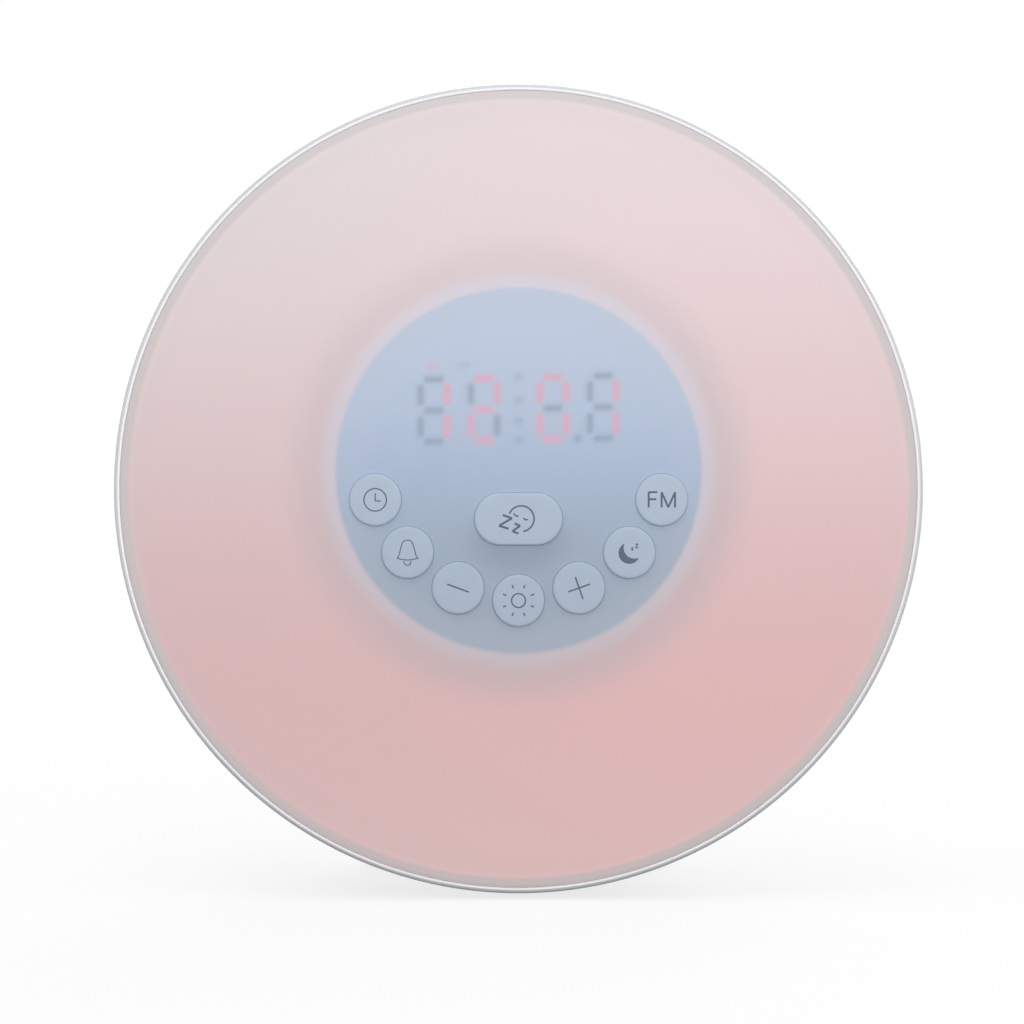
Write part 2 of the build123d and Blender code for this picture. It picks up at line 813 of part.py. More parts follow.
# ---- power socket and aerial outlet -------------------------------------------------------
with BuildPart() as power_socket:
    with BuildSketch(face_plane(jack_seat, 0, jack_up)):
        Rectangle(*jack_size)
    extrude(amount=jack_seat - jack_front)
    with BuildSketch(face_plane(jack_seat + jack_nose, 0, jack_up)):
        Circle(jack_nose_radius)
    extrude(amount=jack_nose)
    with BuildSketch(face_plane(jack_seat + jack_nose, 0, jack_up)):
        Circle(jack_bore_radius)
    extrude(amount=jack_bore_depth, mode=Mode.SUBTRACT)

save(power_socket, "power_socket")

with BuildPart() as socket_pin:
    with BuildSketch(face_plane(jack_seat + jack_nose - jack_bore_depth, 0, jack_up)):
        Circle(jack_pin_radius)
    extrude(amount=-jack_pin_length)

save(socket_pin, "socket_pin")

# a rubber bush in the back wall that the aerial wire comes out of
with BuildPart() as aerial_gland:
    with BuildSketch(face_plane(back_depth + gland_flange, *gland_place)):
        Circle(gland_flange_radius)
    extrude(amount=gland_flange)
    with BuildSketch(face_plane(back_depth, *gland_place)):
        RegularPolygon(gland_neck_radius - thread_gap, flange_sides)
    extrude(amount=wall)
    with BuildSketch(face_plane(back_depth + gland_flange, *gland_place)):
        Circle(gland_bore_radius)
    extrude(amount=wall + gland_flange, mode=Mode.SUBTRACT)

save(aerial_gland, "aerial_gland")


# ---- battery bay --------------------------------------------------------------------------
with BuildPart() as battery_contacts:
    contact_x = (bay_size[0] - contact_thickness) / 2
    with BuildSketch(face_plane(contact_depths[1], contact_x, bay_up)):
        with GridLocations(0, cell_pitch, 1, cell_count):
            Rectangle(contact_thickness, contact_width)
    extrude(amount=contact_depths[1] - contact_depths[0])

save(battery_contacts, "battery_contacts")

# three bent leaves on the other side of the bay
with BuildPart() as battery_springs:
    with BuildSketch(face_plane(contact_depths[1], -contact_x, bay_up)):
        for row in range(cell_count):
            middle = (row - (cell_count - 1) / 2) * cell_pitch
            with BuildLine(mode=Mode.PRIVATE) as leaf:
                Polyline(
                    (0, middle - contact_width / 2),
                    (leaf_bow, middle),
                    (0, middle + contact_width / 2),
                )
            trace(leaf.line, line_width=contact_thickness)
    extrude(amount=contact_depths[1] - contact_depths[0])

save(battery_springs, "battery_springs")

with BuildPart() as battery_door:
    with BuildSketch(face_plane(back_depth, 0, bay_up)) as door_outline:
        Rectangle(*door_size)
        fillet(door_outline.vertices(), door_corner)
    extrude(amount=door_thickness)
    # two tabs that reach under the edge of the housing
    with BuildSketch(face_plane(door_inner, 0, door_foot)):
        for x in tab_xs:
            with Locations((x, (tab_root - tab_reach) / 2)):
                Rectangle(tab_width, tab_root + tab_reach)
    extrude(amount=tab_thickness)
    # a springy tongue between two slits, with grooves for a finger
    with BuildSketch(face_plane(back_depth, 0, bay_up + (door_size[1] - latch_size[1]) / 2)):
        with GridLocations(latch_size[0], 0, 2, 1):
            Rectangle(slit, latch_size[1])
    extrude(amount=door_thickness, mode=Mode.SUBTRACT)
    with BuildSketch(face_plane(back_depth, 0, bay_up + (door_size[1] - latch_size[1]) / 2)):
        with GridLocations(0, grip_pitch, 1, grip_count):
            Rectangle(grip_size[0], grip_size[1])
    extrude(amount=grip_size[2], mode=Mode.SUBTRACT)

save(battery_door, "battery_door")


# ---- under the foot -----------------------------------------------------------------------
with BuildPart() as base_plate:
    add(foot_block(wall + slip, 0))
    split(bisect_by=Plane.XY.offset(pad_rise + base_plate_thickness), keep=Keep.BOTTOM)
    with BuildSketch(Plane.XY.offset(pad_rise)):
        with Locations(*base_screws):
            RegularPolygon(small_screw_radius + slip, screw_sides)
    extrude(amount=base_plate_thickness, mode=Mode.SUBTRACT)
    with BuildSketch(Plane.XY.offset(pad_rise)):
        with Locations(*base_screws):
            RegularPolygon(small_head_radius + slip, screw_sides)
    extrude(amount=base_plate_thickness - base_seat, mode=Mode.SUBTRACT)
    with BuildSketch(Plane.XY.offset(pad_rise)):
        with Locations(*pads):
            Rectangle(pad_size[0] + slip, pad_size[1] + slip)
    extrude(amount=pad_recess, mode=Mode.SUBTRACT)

save(base_plate, "base_plate")

with BuildPart() as rubber_feet:
    with BuildSketch(Plane.XY):
        with Locations(*pads):
            Rectangle(*pad_size)
    extrude(amount=pad_rise + pad_recess)

save(rubber_feet, "rubber_feet")


# ---- screws -------------------------------------------------------------------------------
def write_screws(name, seats, head_size, shank_size):
    """Screws whose heads rest on the planes given. Sizes are (radius, length)."""
    with BuildPart() as screws:
        with BuildSketch(*seats):
            RegularPolygon(head_size[0], screw_sides)
        extrude(amount=head_size[1])
        with BuildSketch(*seats):
            RegularPolygon(shank_size[0], screw_sides)
        extrude(amount=-shank_size[1])
    save(screws, name)


def seats_at(depth, places):
    """Planes that look backwards, for screws that are driven in from behind."""
    fronts = planes_at(depth, places)
    return [Plane(front.origin, x_dir=(1, 0, 0), z_dir=(0, 1, 0)) for front in fronts]


base_seat_planes = [
    Plane((x, y, pad_rise + base_plate_thickness - base_seat), x_dir=(1, 0, 0), z_dir=(0, 0, -1))
    for x, y in base_screws
]
small_head_size = (small_head_radius, small_head)
short, medium, long = [(small_screw_radius, length) for length in small_lengths]
write_screws(
    "housing_screws",
    seats_at(seat_depth, housing_screws),
    (screw_head_radius, screw_head),
    (screw_radius, screw_length),
)
write_screws("pod_screws", seats_at(dish_back, pod_screws), small_head_size, medium)
write_screws(
    "display_board_screws",
    seats_at(display_board_back, display_screws),
    small_head_size,
    medium,
)
write_screws("led_board_screws", planes_at(ring_board_front, ring_screws), small_head_size, medium)
write_screws("main_board_screws", planes_at(main_board_depth, main_screws), small_head_size, long)
write_screws("base_screws", base_seat_planes, small_head_size, short)
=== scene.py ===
from math import atan2, cos, exp, hypot, pi, radians, sin

import bpy
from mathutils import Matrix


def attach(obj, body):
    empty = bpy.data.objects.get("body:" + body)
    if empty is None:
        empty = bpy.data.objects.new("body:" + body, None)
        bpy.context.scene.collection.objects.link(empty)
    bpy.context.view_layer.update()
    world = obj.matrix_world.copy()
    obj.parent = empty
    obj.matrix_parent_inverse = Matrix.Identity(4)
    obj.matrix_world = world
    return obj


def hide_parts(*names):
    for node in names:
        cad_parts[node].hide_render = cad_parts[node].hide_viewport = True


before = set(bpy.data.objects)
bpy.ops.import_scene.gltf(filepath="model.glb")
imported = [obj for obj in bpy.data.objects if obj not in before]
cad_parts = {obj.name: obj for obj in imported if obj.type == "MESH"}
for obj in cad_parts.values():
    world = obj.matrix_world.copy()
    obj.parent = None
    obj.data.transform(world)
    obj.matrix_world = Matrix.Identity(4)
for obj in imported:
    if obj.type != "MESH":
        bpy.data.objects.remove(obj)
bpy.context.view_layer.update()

# ---- Camera ----
# It stands straight in front of the clock, a little below the middle of the face, and looks
# level. Places are given as on the clock: right of its axis, above it, and back from its rim.
mm = 0.001
rim_front = -35.5 * mm
axis_height = 86.2 * mm
camera_spot = (-1.36, -4.87, -650)
focal_length = 108.98


def place(x, up, depth):
    """A point from millimetres right of the axis, above it, and behind the rim's front edge."""
    return (x * mm, rim_front + depth * mm, axis_height + up * mm)


bpy.ops.object.select_all(action="DESELECT")
bpy.ops.object.camera_add(location=place(*camera_spot), rotation=(pi / 2, 0, 0))
camera = bpy.context.object
camera.name = "camera"
camera.data.lens = focal_length
bpy.context.scene.camera = camera
bpy.context.scene.view_settings.view_transform = "Standard"

# ---- Table and light ----
# A plain pale table that ends in white, and large soft lamps above, in front and behind, as in
# a small photo studio.
table_width = 6
white = (1, 1, 1, 1)
daylight_strength, wall_strength = 0.63, 1.0


def tone(red, green, blue):
    """A colour given as seen on a screen, 0 to 255 each, as the light it stands for."""
    light = []
    for level in (red, green, blue):
        part = level / 255
        light.append(part / 12.92 if part <= 0.04045 else ((part + 0.055) / 1.055) ** 2.4)
    return (*light, 1.0)


def feed(owner, node, values):
    """Sets a node's inputs. A value is a number or colour, or another node's output to link."""
    for socket, value in values.items():
        if isinstance(value, bpy.types.NodeSocket):
            owner.node_tree.links.new(value, node.inputs[socket])
        else:
            node.inputs[socket].default_value = value


def add(owner, kind, values=None, **settings):
    """Adds a shader node with its settings and inputs."""
    made = owner.node_tree.nodes.new(kind)
    for key, setting in settings.items():
        setattr(made, key, setting)
    feed(owner, made, values or {})
    return made


def calculate(owner, operation, *values):
    """The outcome of one operation on numbers."""
    return add(owner, "ShaderNodeMath", dict(enumerate(values)), operation=operation).outputs[0]


def calculate_places(owner, operation, values, outcome="Vector"):
    """The outcome of one operation on places or colours."""
    return add(owner, "ShaderNodeVectorMath", values, operation=operation).outputs[outcome]


def where_on(owner):
    """The place that is shaded, from the piece's own origin."""
    return add(owner, "ShaderNodeTexCoord").outputs["Object"]


def noise(owner, spot, scale, detail):
    """A cloudy value between 0 and 1. The larger its scale, the finer it is."""
    values = {"Vector": spot, "Scale": scale, "Detail": detail}
    return add(owner, "ShaderNodeTexNoise", values).outputs["Fac"]


def bumps(owner, hills, strength, height):
    """The way a surface faces that has small hills of a height in millimetres."""
    values = {"Strength": strength, "Distance": height * mm, "Height": hills}
    return add(owner, "ShaderNodeBump", values).outputs[0]


def ease(owner, value, start, end, low=0.0, high=1.0):
    """Takes a value from low to high, smoothly, as it goes from start to end."""
    return add(
        owner,
        "ShaderNodeMapRange",
        {0: value, 1: start, 2: end, 3: low, 4: high},
        interpolation_type="SMOOTHSTEP",
    ).outputs[0]


def mixed(owner, share, first, second):
    """A first surface that a share of a second one is mixed into."""
    return add(owner, "ShaderNodeMixShader", {0: share, 1: first, 2: second}).outputs[0]


def seen_directly(owner):
    """1 for rays from the eye, also by way of gloss or glass, and 0 for light that spreads."""
    path = add(owner, "ShaderNodeLightPath").outputs
    gloss = calculate(owner, "MAXIMUM", path["Is Camera Ray"], path["Is Glossy Ray"])
    return calculate(owner, "MAXIMUM", gloss, path["Is Transmission Ray"])


def new_look(name):
    """A new material."""
    material = bpy.data.materials.new(name)
    material.use_nodes = True
    return material


world = bpy.data.worlds.new("studio")
bpy.context.scene.world = world
world.use_nodes = True
world.node_tree.nodes.clear()
daylight, white_wall = [
    add(world, "ShaderNodeBackground", {"Color": white, "Strength": strength}).outputs[0]
    for strength in (daylight_strength, wall_strength)
]
shown = mixed(world, seen_directly(world), daylight, white_wall)
add(world, "ShaderNodeOutputWorld", {"Surface": shown})

bpy.ops.mesh.primitive_grid_add(x_subdivisions=8, y_subdivisions=8, size=table_width)
table = bpy.context.object
table.name = "table"
pale = new_look("pale_table")
pale.node_tree.nodes.clear()
table_spot = where_on(pale)
paper = bumps(pale, noise(pale, table_spot, 400.0, 4.0), 0.05, 0.1)
table_values = {"Color": tone(116, 116, 116), "Normal": paper}
lit = add(pale, "ShaderNodeBsdfDiffuse", table_values).outputs[0]
lit_bright = add(pale, "ShaderNodeBsdfDiffuse", {"Color": white}).outputs[0]
bright = add(pale, "ShaderNodeEmission", {"Color": white, "Strength": 1.0}).outputs[0]
# the eye sees a white table, which takes a faint shadow near the clock only
far_off = calculate_places(pale, "LENGTH", {0: table_spot}, "Value")
shadow_share = ease(pale, far_off, 0.15, 0.55, 0.22, 0.0)
soft_white = mixed(pale, shadow_share, bright, lit_bright)
table_look = mixed(pale, seen_directly(pale), lit, soft_white)
add(pale, "ShaderNodeOutputMaterial", {"Surface": table_look})
table.data.materials.append(pale)


def hang_lamp(name, spot, tilt, pan, width, power):
    """A square soft lamp. Its tilt and pan are in degrees, from facing straight down."""
    turn = (radians(tilt), 0, radians(pan))
    bpy.ops.object.light_add(type="AREA", location=spot, rotation=turn)
    lamp = bpy.context.object
    lamp.name = name
    lamp.data.size = width
    lamp.data.energy = power


hang_lamp("top_lamp", (-0.1, -0.5, 1.0), 30, 0, 0.5, 1.6)
hang_lamp("front_lamp", (0.15, -1.3, 0.35), 80, 6, 0.9, 9.3)
hang_lamp("back_lamp", (0.3, 1.1, 0.5), 70, 165, 0.8, 6.0)

# ---- Rear housing ----
# One white moulding in glossy ABS: the bowl whose front edge is the thin rim, and the foot that
# leans into it. Its outside is smoother than the CAD solid's, and its inside is the solid's own.
merge_distance = 0.001 * mm
sliver_width = 0.01 * mm


def select_only(piece):
    """Makes a piece the only one that operators act on."""
    bpy.ops.object.select_all(action="DESELECT")
    piece.select_set(True)
    bpy.context.view_layer.objects.active = piece


def closed_copy(node, name):
    """A copy of a CAD node's mesh with its triangles joined into one closed skin."""
    piece = bpy.data.objects.new(name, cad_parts[node].data.copy())
    piece.data.name = name
    bpy.context.scene.collection.objects.link(piece)
    select_only(piece)
    bpy.ops.object.mode_set(mode="EDIT")
    bpy.ops.mesh.select_all(action="SELECT")
    bpy.ops.mesh.remove_doubles(threshold=merge_distance)
    bpy.ops.mesh.dissolve_limited(angle_limit=radians(0.5))
    bpy.ops.object.mode_set(mode="OBJECT")
    return piece


def close_skin():
    """Joins doubled points, fills open ends and points the faces of the edited mesh outwards."""
    bpy.ops.mesh.select_all(action="SELECT")
    bpy.ops.mesh.remove_doubles(threshold=merge_distance)
    bpy.ops.mesh.fill_holes(sides=0)
    bpy.ops.mesh.select_all(action="SELECT")
    bpy.ops.mesh.normals_make_consistent(inside=False)
    bpy.ops.object.mode_set(mode="OBJECT")


def edit_where(piece, kind, test):
    """Opens a piece for editing with the points or edges that pass a test selected."""
    select_only(piece)
    bpy.ops.object.mode_set(mode="EDIT")
    bpy.ops.mesh.select_mode(type=kind)
    bpy.ops.mesh.select_all(action="DESELECT")
    bpy.ops.object.mode_set(mode="OBJECT")
    mesh = piece.data
    if kind == "VERT":
        for point in mesh.vertices:
            point.select = test(point.co)
    else:
        for edge in mesh.edges:
            edge.select = test(*[mesh.vertices[i].co for i in edge.vertices])
    bpy.ops.object.mode_set(mode="EDIT")


def pull(x, up, profile, spread=0.0):
    """Extrudes the selected loop through (depth, radius), from the first of them.

    The loop may be drawn out to both sides of x, by a spread.
    """
    depth, radius = profile[0]
    for next_depth, next_radius in profile[1:]:
        step = (0, (next_depth - depth) * mm, 0)
        bpy.ops.mesh.extrude_edges_move(TRANSFORM_OT_translate={"value": step})
        across = (next_radius + spread) / (radius + spread)
        bpy.ops.transform.resize(
            value=(across, 1, next_radius / radius), center_override=place(x, up, next_depth)
        )
        depth, radius = next_depth, next_radius


def turn_round(name, x, up, profile, sides):
    """Turns a piece about a line from front to back. The profile is its (depth, radius)."""
    depth, radius = profile[0]
    bpy.ops.object.select_all(action="DESELECT")
    bpy.ops.mesh.primitive_circle_add(
        vertices=sides,
        radius=radius * mm,
        location=place(x, up, depth),
        rotation=(pi / 2, 0, 0),
    )
    piece = bpy.context.object
    piece.name = piece.data.name = name
    bpy.ops.object.transform_apply(location=True, rotation=True, scale=True)
    bpy.ops.object.mode_set(mode="EDIT")
    bpy.ops.mesh.select_all(action="SELECT")
    pull(x, up, profile)
    close_skin()
    return piece


def rounding(depth, radius, reach, start, end, steps):
    """Points of an arc in a profile, as (depth, radius), between two angles in degrees."""
    angles = [radians(start + (end - start) * i / steps) for i in range(steps + 1)]
    return [(depth + reach * cos(a), radius + reach * sin(a)) for a in angles]


def combine(piece, tool, operation):
    """Joins, cuts or trims a piece with a tool, which is used up."""
    select_only(piece)
    cut = piece.modifiers.new("combine", "BOOLEAN")
    cut.operation = operation
    cut.object = tool
    cut.solver = "EXACT"
    bpy.ops.object.modifier_apply(modifier=cut.name)
    bpy.data.objects.remove(tool)


def smooth(piece, angle=30):
    """Shades a piece smoothly across edges that turn less than an angle, flat faces kept flat."""
    select_only(piece)
    bpy.ops.object.shade_smooth_by_angle(angle=radians(angle))
    weighted = piece.modifiers.new("weighted", "WEIGHTED_NORMAL")
    weighted.keep_sharp = True
    bpy.ops.object.modifier_apply(modifier=weighted.name)


def fit(piece, body, finish, look, *nodes):
    """Gives a finished piece its material and its body, and hides the CAD nodes it is for."""
    piece.data.materials.clear()
    piece.data.materials.append(look)
    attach(piece, body)
    if nodes:
        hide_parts(*nodes)


def set_look(material, values):
    """Sets or links what a material's own shader takes."""
    feed(material, material.node_tree.nodes["Principled BSDF"], values)


def base_colour(material):
    """The output that a material has its colour from so far."""
    shader = material.node_tree.nodes["Principled BSDF"]
    return shader.inputs["Base Color"].links[0].from_socket


def grained(material, grain, height, strength=0.3):
    """Gives a surface a fine grain, as small hills of a size and height in millimetres."""
    fine = noise(material, where_on(material), 1 / (grain * mm), 3.0)
    set_look(material, {"Normal": bumps(material, fine, strength, height)})


def blended(material, amount, first, second, mode="MIX"):
    """Mixes a second colour into a first by an amount."""
    return add(
        material,
        "ShaderNodeMix",
        {0: amount, 6: first, 7: second},
        data_type="RGBA",
        blend_type=mode,
    ).outputs[2]


def moulded(name, colour, roughness, grain, height, clouding=0.03):
    """Moulded plastic: a faintly clouded colour, uneven gloss, and the grain of its mould."""
    material = new_look(name)
    at = where_on(material)
    darker = (*[level * (1 - clouding) for level in colour[:3]], 1)
    shade = blended(material, noise(material, at, 60.0, 4.0), darker, colour)
    gloss = add(
        material,
        "ShaderNodeMapRange",
        {0: noise(material, at, 220.0, 5.0), 3: roughness * 0.85, 4: roughness * 1.15},
    ).outputs[0]
    values = {"Base Color": shade, "Roughness": gloss, "IOR": 1.49, "Specular IOR Level": 0.3}
    set_look(material, values)
    grained(material, grain, height)
    return material


def along(owner, spot, direction):
    """How far a place is along X, Y or Z."""
    return add(owner, "ShaderNodeSeparateXYZ", {0: spot}).outputs[direction]


def distance_from(material, spot, up, wide=1.0):
    """Millimetres from the axis at a height, seen from the front, with those across divided."""
    centre = (0, 0, -axis_height - up * mm)
    from_centre = calculate_places(material, "ADD", {0: spot, 1: centre})
    flat_scale = (1 / mm / wide, 0, 1 / mm)
    flat = calculate_places(material, "MULTIPLY", {0: from_centre, 1: flat_scale})
    return calculate_places(material, "LENGTH", {0: flat}, "Value")


# the rim's outer rounding is painted greyer than the rest, most so above and below, as painted
# shade, and its inner lip is painted whiter, as a painted highlight
white_plastic = moulded("white_plastic", tone(228, 229, 230), 0.22, 0.6, 0.002)
outer_rim_shade_band, lip_highlight_band = (84.1, 84.4), (84.15, 84.0)
# greyer is the tint of the painted shade on the outer rounding, whiter that of the painted
# highlight on the lip
greyer, whiter = (0.8, 0.82, 0.86, 1), (0.98, 0.98, 1.0, 1)
shell_at = where_on(white_plastic)
rim_distance = distance_from(white_plastic, shell_at, 0)
above_or_below = distance_from(white_plastic, shell_at, 0, 1000)
rim_shade_strength = ease(white_plastic, above_or_below, 0, 80, 0.2, 1.0)
in_front = ease(
    white_plastic,
    along(white_plastic, shell_at, "Y"),
    rim_front + 0.95 * mm,
    rim_front + 0.45 * mm,
)
rim_painted_light = base_colour(white_plastic)
for band, most, mode, tint in (
    (outer_rim_shade_band, rim_shade_strength, "MULTIPLY", greyer),
    (lip_highlight_band, in_front, "MIX", whiter),
):
    share = calculate(white_plastic, "MULTIPLY", ease(white_plastic, rim_distance, *band), most)
    share = calculate(white_plastic, "MULTIPLY", share, in_front)
    rim_painted_light = blended(white_plastic, share, rim_painted_light, tint, mode)
set_look(white_plastic, {"Base Color": rim_painted_light})

bowl_profile = [(0.35, 83.0), (0.35, 83.68)]
bowl_profile += rounding(0.35, 84.03, 0.35, 270, 180, 5)
bowl_profile += rounding(0.9, 84.03, 0.9, 180, 90, 10)
bowl_profile += [(14.0, 84.93), (18.5, 84.88)]
bowl_profile += rounding(21.44, 74.0, 10.75, 90, 45, 14)
slope_start, back_round = bowl_profile[-1], rounding(53.97, 51.01, 4.0, 45, 0, 10)
slope_rings = 20
for ring in range(1, slope_rings):
    ends = zip(slope_start, back_round[0])
    bowl_profile.append(tuple(start + (end - start) * ring / slope_rings for start, end in ends))
bowl_profile += [*back_round, (57.97, 48.0)]
outer_form = turn_round("outer_form", 0, 0, bowl_profile, 320)

foot_bottom, foot_top = 1.22, 46.2
foot_front, foot_back, foot_lean = 10.05, 73.95, 16.5
half_front, half_back, half_top = 11.95, 39.95, 32.7
foot_corner, foot_edge = 10.8, 0.7
front_wall = rim_front + foot_front * mm
back_wall = rim_front + foot_back * mm
middle_depth = rim_front + (foot_front + foot_back) / 2 * mm
middle_height = (foot_bottom + foot_top) / 2 * mm
bpy.ops.object.select_all(action="DESELECT")
bpy.ops.mesh.primitive_cube_add(
    size=1,
    location=(0, middle_depth, middle_height),
    scale=(2 * half_back * mm, (foot_back - foot_front) * mm, (foot_top - foot_bottom) * mm),
)
foot = bpy.context.object
bpy.ops.object.transform_apply(location=True, rotation=True, scale=True)
edit_where(foot, "VERT", lambda at: at.y < front_wall + 1 * mm)
bpy.ops.transform.resize(
    value=(half_front / half_back, 1, 1), center_override=(0, front_wall, 0)
)
bpy.ops.object.mode_set(mode="OBJECT")
edit_where(foot, "VERT", lambda at: at.y > back_wall - 1 * mm and at.z > middle_height)
bpy.ops.transform.translate(value=(0, -foot_lean * mm, 0))
bpy.ops.transform.resize(value=(half_top / half_back, 1, 1), center_override=(0, 0, 0))
bpy.ops.object.mode_set(mode="OBJECT")
edit_where(
    foot,
    "EDGE",
    lambda a, b: min(a.y, b.y) > front_wall + 1 * mm and abs(a.z - b.z) > 10 * mm,
)
bpy.ops.mesh.bevel(offset=foot_corner * mm, segments=16, affect="EDGES")
bpy.ops.object.mode_set(mode="OBJECT")
edit_where(foot, "EDGE", lambda a, b: max(a.z, b.z) < (foot_bottom + 0.1) * mm)
bpy.ops.mesh.bevel(offset=foot_edge * mm, segments=3, affect="EDGES")
bpy.ops.object.mode_set(mode="OBJECT")
combine(outer_form, foot, "UNION")

housing = closed_copy("rear_housing", "white_housing")
combine(housing, outer_form, "INTERSECT")
well_spots = [(x, up) for x in (-50, 50) for up in (-42, 42)]
well_floor, well_end, well_radius = 31.05, 60, 2.75
for x, up in well_spots:
    well = turn_round("well", x, up, [(well_floor, well_radius), (well_end, well_radius)], 48)
    combine(housing, well, "DIFFERENCE")
bpy.ops.object.mode_set(mode="EDIT")
bpy.ops.mesh.select_all(action="SELECT")
bpy.ops.mesh.remove_doubles(threshold=sliver_width)
bpy.ops.mesh.dissolve_degenerate(threshold=sliver_width)
bpy.ops.object.mode_set(mode="OBJECT")
smooth(housing, 25)
fit(housing, "clock", "shell_white", white_plastic, "rear_housing")

# ---- Diffuser lens ----
# A frosted acrylic disc that fills the rim. The lights behind it make it glow, pink and strongest
# low down, and the grey-blue pod and the lit figures of the clock show through it, blurred. Its
# colours are also painted lighter towards the top, as painted light from above, with painted shade
# under the buttons.
pod_up = 3.8
lens_front = -2.2
lens_back = -0.2
lens_skirt = 6.8
lens_radius = 83.5
lens_rounding = 2.4
acrylic_ior = 1.45
cap_radius = 5.45
snooze_half = 9.225
snooze_up = -6.3
hole_gap = 0.05
hole_round = 0.1
hole = cap_radius + hole_gap
hole_mouth = hole + hole_round
arc_radius, arc_up, arc_step = 31.8, 8.45, 23.4
button_spots = {}
for index, name in enumerate(("clock", "alarm", "minus", "light", "plus", "sleep", "radio")):
    turn = radians(arc_step * (index - 3))
    button_spots[name] = (arc_radius * sin(turn), arc_up - arc_radius * cos(turn))
# each hole's middle, and half its width where it is drawn out sideways
holes = [(*spot, 0) for spot in button_spots.values()]
holes.append((0, snooze_up, snooze_half + hole_gap + hole_round))

# the part of the front that the figures show on is a fine grid, because they are coloured points
figure_half, figure_low, figure_high = 25.0, 3.5, 30.0
grid_across, grid_up = 160, 86
lens_sides, hole_sides = 256, 64
bpy.ops.object.select_all(action="DESELECT")
bpy.ops.mesh.primitive_grid_add(
    x_subdivisions=grid_across,
    y_subdivisions=grid_up,
    size=1,
    location=place(0, (figure_low + figure_high) / 2, lens_front),
    rotation=(pi / 2, 0, 0),
)
lens = bpy.context.object
lens.name = lens.data.name = "frosted_lens"
lens.scale = (2 * figure_half * mm, (figure_high - figure_low) * mm, 1)
bpy.ops.object.transform_apply(location=True, rotation=True, scale=True)


def stretch_sideways(piece, x, reach):
    """Draws the selected loop of the edited piece out to both sides of x."""
    bpy.ops.object.mode_set(mode="OBJECT")
    chosen = [point.index for point in piece.data.vertices if point.select]
    for side in (-1, 1):
        for point in piece.data.vertices:
            point.select = point.index in chosen and (point.co.x - x * mm) * side > 1e-7
        for edge in piece.data.edges:
            edge.select = all(piece.data.vertices[i].select for i in edge.vertices)
        for face in piece.data.polygons:
            face.select = False
        bpy.ops.object.mode_set(mode="EDIT")
        bpy.ops.transform.translate(value=(side * reach * mm, 0, 0))
        bpy.ops.object.mode_set(mode="OBJECT")
    bpy.ops.object.mode_set(mode="EDIT")


def lens_loop(x, up, half, radius, sides):
    """Adds a loop, round or drawn out sideways, to the front of the lens that is edited."""
    bpy.ops.mesh.select_all(action="DESELECT")
    bpy.ops.mesh.primitive_circle_add(
        vertices=sides,
        radius=radius * mm,
        location=place(x, up, lens_front),
        rotation=(pi / 2, 0, 0),
    )
    if half > radius:
        stretch_sideways(lens, x, half - radius)


bpy.ops.object.mode_set(mode="EDIT")
bpy.ops.mesh.select_mode(type="VERT")
lens_loop(0, 0, 0, lens_radius - lens_rounding, lens_sides)
for x, up, half in holes:
    lens_loop(x, up, half, hole_mouth, hole_sides)
bpy.ops.mesh.select_mode(type="EDGE")
bpy.ops.mesh.select_all(action="DESELECT")
bpy.ops.mesh.select_non_manifold(extend=False)
bpy.ops.mesh.fill(use_beauty=True)
bpy.ops.object.mode_set(mode="OBJECT")


def at_depth(at, depth):
    """Whether a point lies at a depth behind the rim's front edge, in millimetres."""
    return abs((at.y - rim_front) / mm - depth) < 0.001


def pull_loop(piece, x, up, half, profile):
    """Extrudes the open loop round a middle through (depth, radius), from the first of them."""
    depth, radius = profile[0]
    spread = (half or radius) - radius

    def on_loop(at):
        across = max(0.0, abs(at.x / mm - x) - spread)
        above = (at.z - axis_height) / mm - up
        return abs(hypot(across, above) - radius) < 0.02 and at_depth(at, depth)

    edit_where(piece, "VERT", on_loop)
    bpy.ops.mesh.select_mode(type="EDGE")
    pull(x, up, profile, spread)
    bpy.ops.object.mode_set(mode="OBJECT")


hole_profile = [
    (lens_front, hole_mouth),
    (lens_front + 0.03, hole + 0.03),
    (lens_front + hole_round, hole),
    (lens_back, hole),
]
for x, up, half in holes:
    pull_loop(lens, x, up, half, hole_profile)
skirt_inside = lens_radius - 2
edge_profile = rounding(
    lens_front + lens_rounding, lens_radius - lens_rounding, lens_rounding, 180, 90, 10
)
edge_profile[0] = (lens_front, lens_radius - lens_rounding)
edge_profile += [(lens_skirt, lens_radius), (lens_skirt, skirt_inside), (lens_back, skirt_inside)]
pull_loop(lens, 0, 0, 0, edge_profile)
edit_where(lens, "EDGE", lambda a, b: at_depth(a, lens_back) and at_depth(b, lens_back))
bpy.ops.mesh.fill(use_beauty=True)
close_skin()
smooth(lens, 35)

# which bars of each figure are lit, from its top bar clockwise and last the middle one
figures = {-17.7: "0110000", -7.2: "1101101", 7.2: "1111110", 17.7: "0110000"}
figure_up = 16.7
bar_spots = [
    ((-1.3, 6.5), (1.3, 6.5)),
    ((2.75, 1.9), (2.75, 4.75)),
    ((2.75, -4.75), (2.75, -1.9)),
    ((-1.3, -6.5), (1.3, -6.5)),
    ((-2.75, -4.75), (-2.75, -1.9)),
    ((-2.75, 1.9), (-2.75, 4.75)),
    ((-1.3, 0), (1.3, 0)),
]
bar_half = 0.6
bar_blur = 0.3
row_slope = 0.021
near_across, near_up = 6, 7
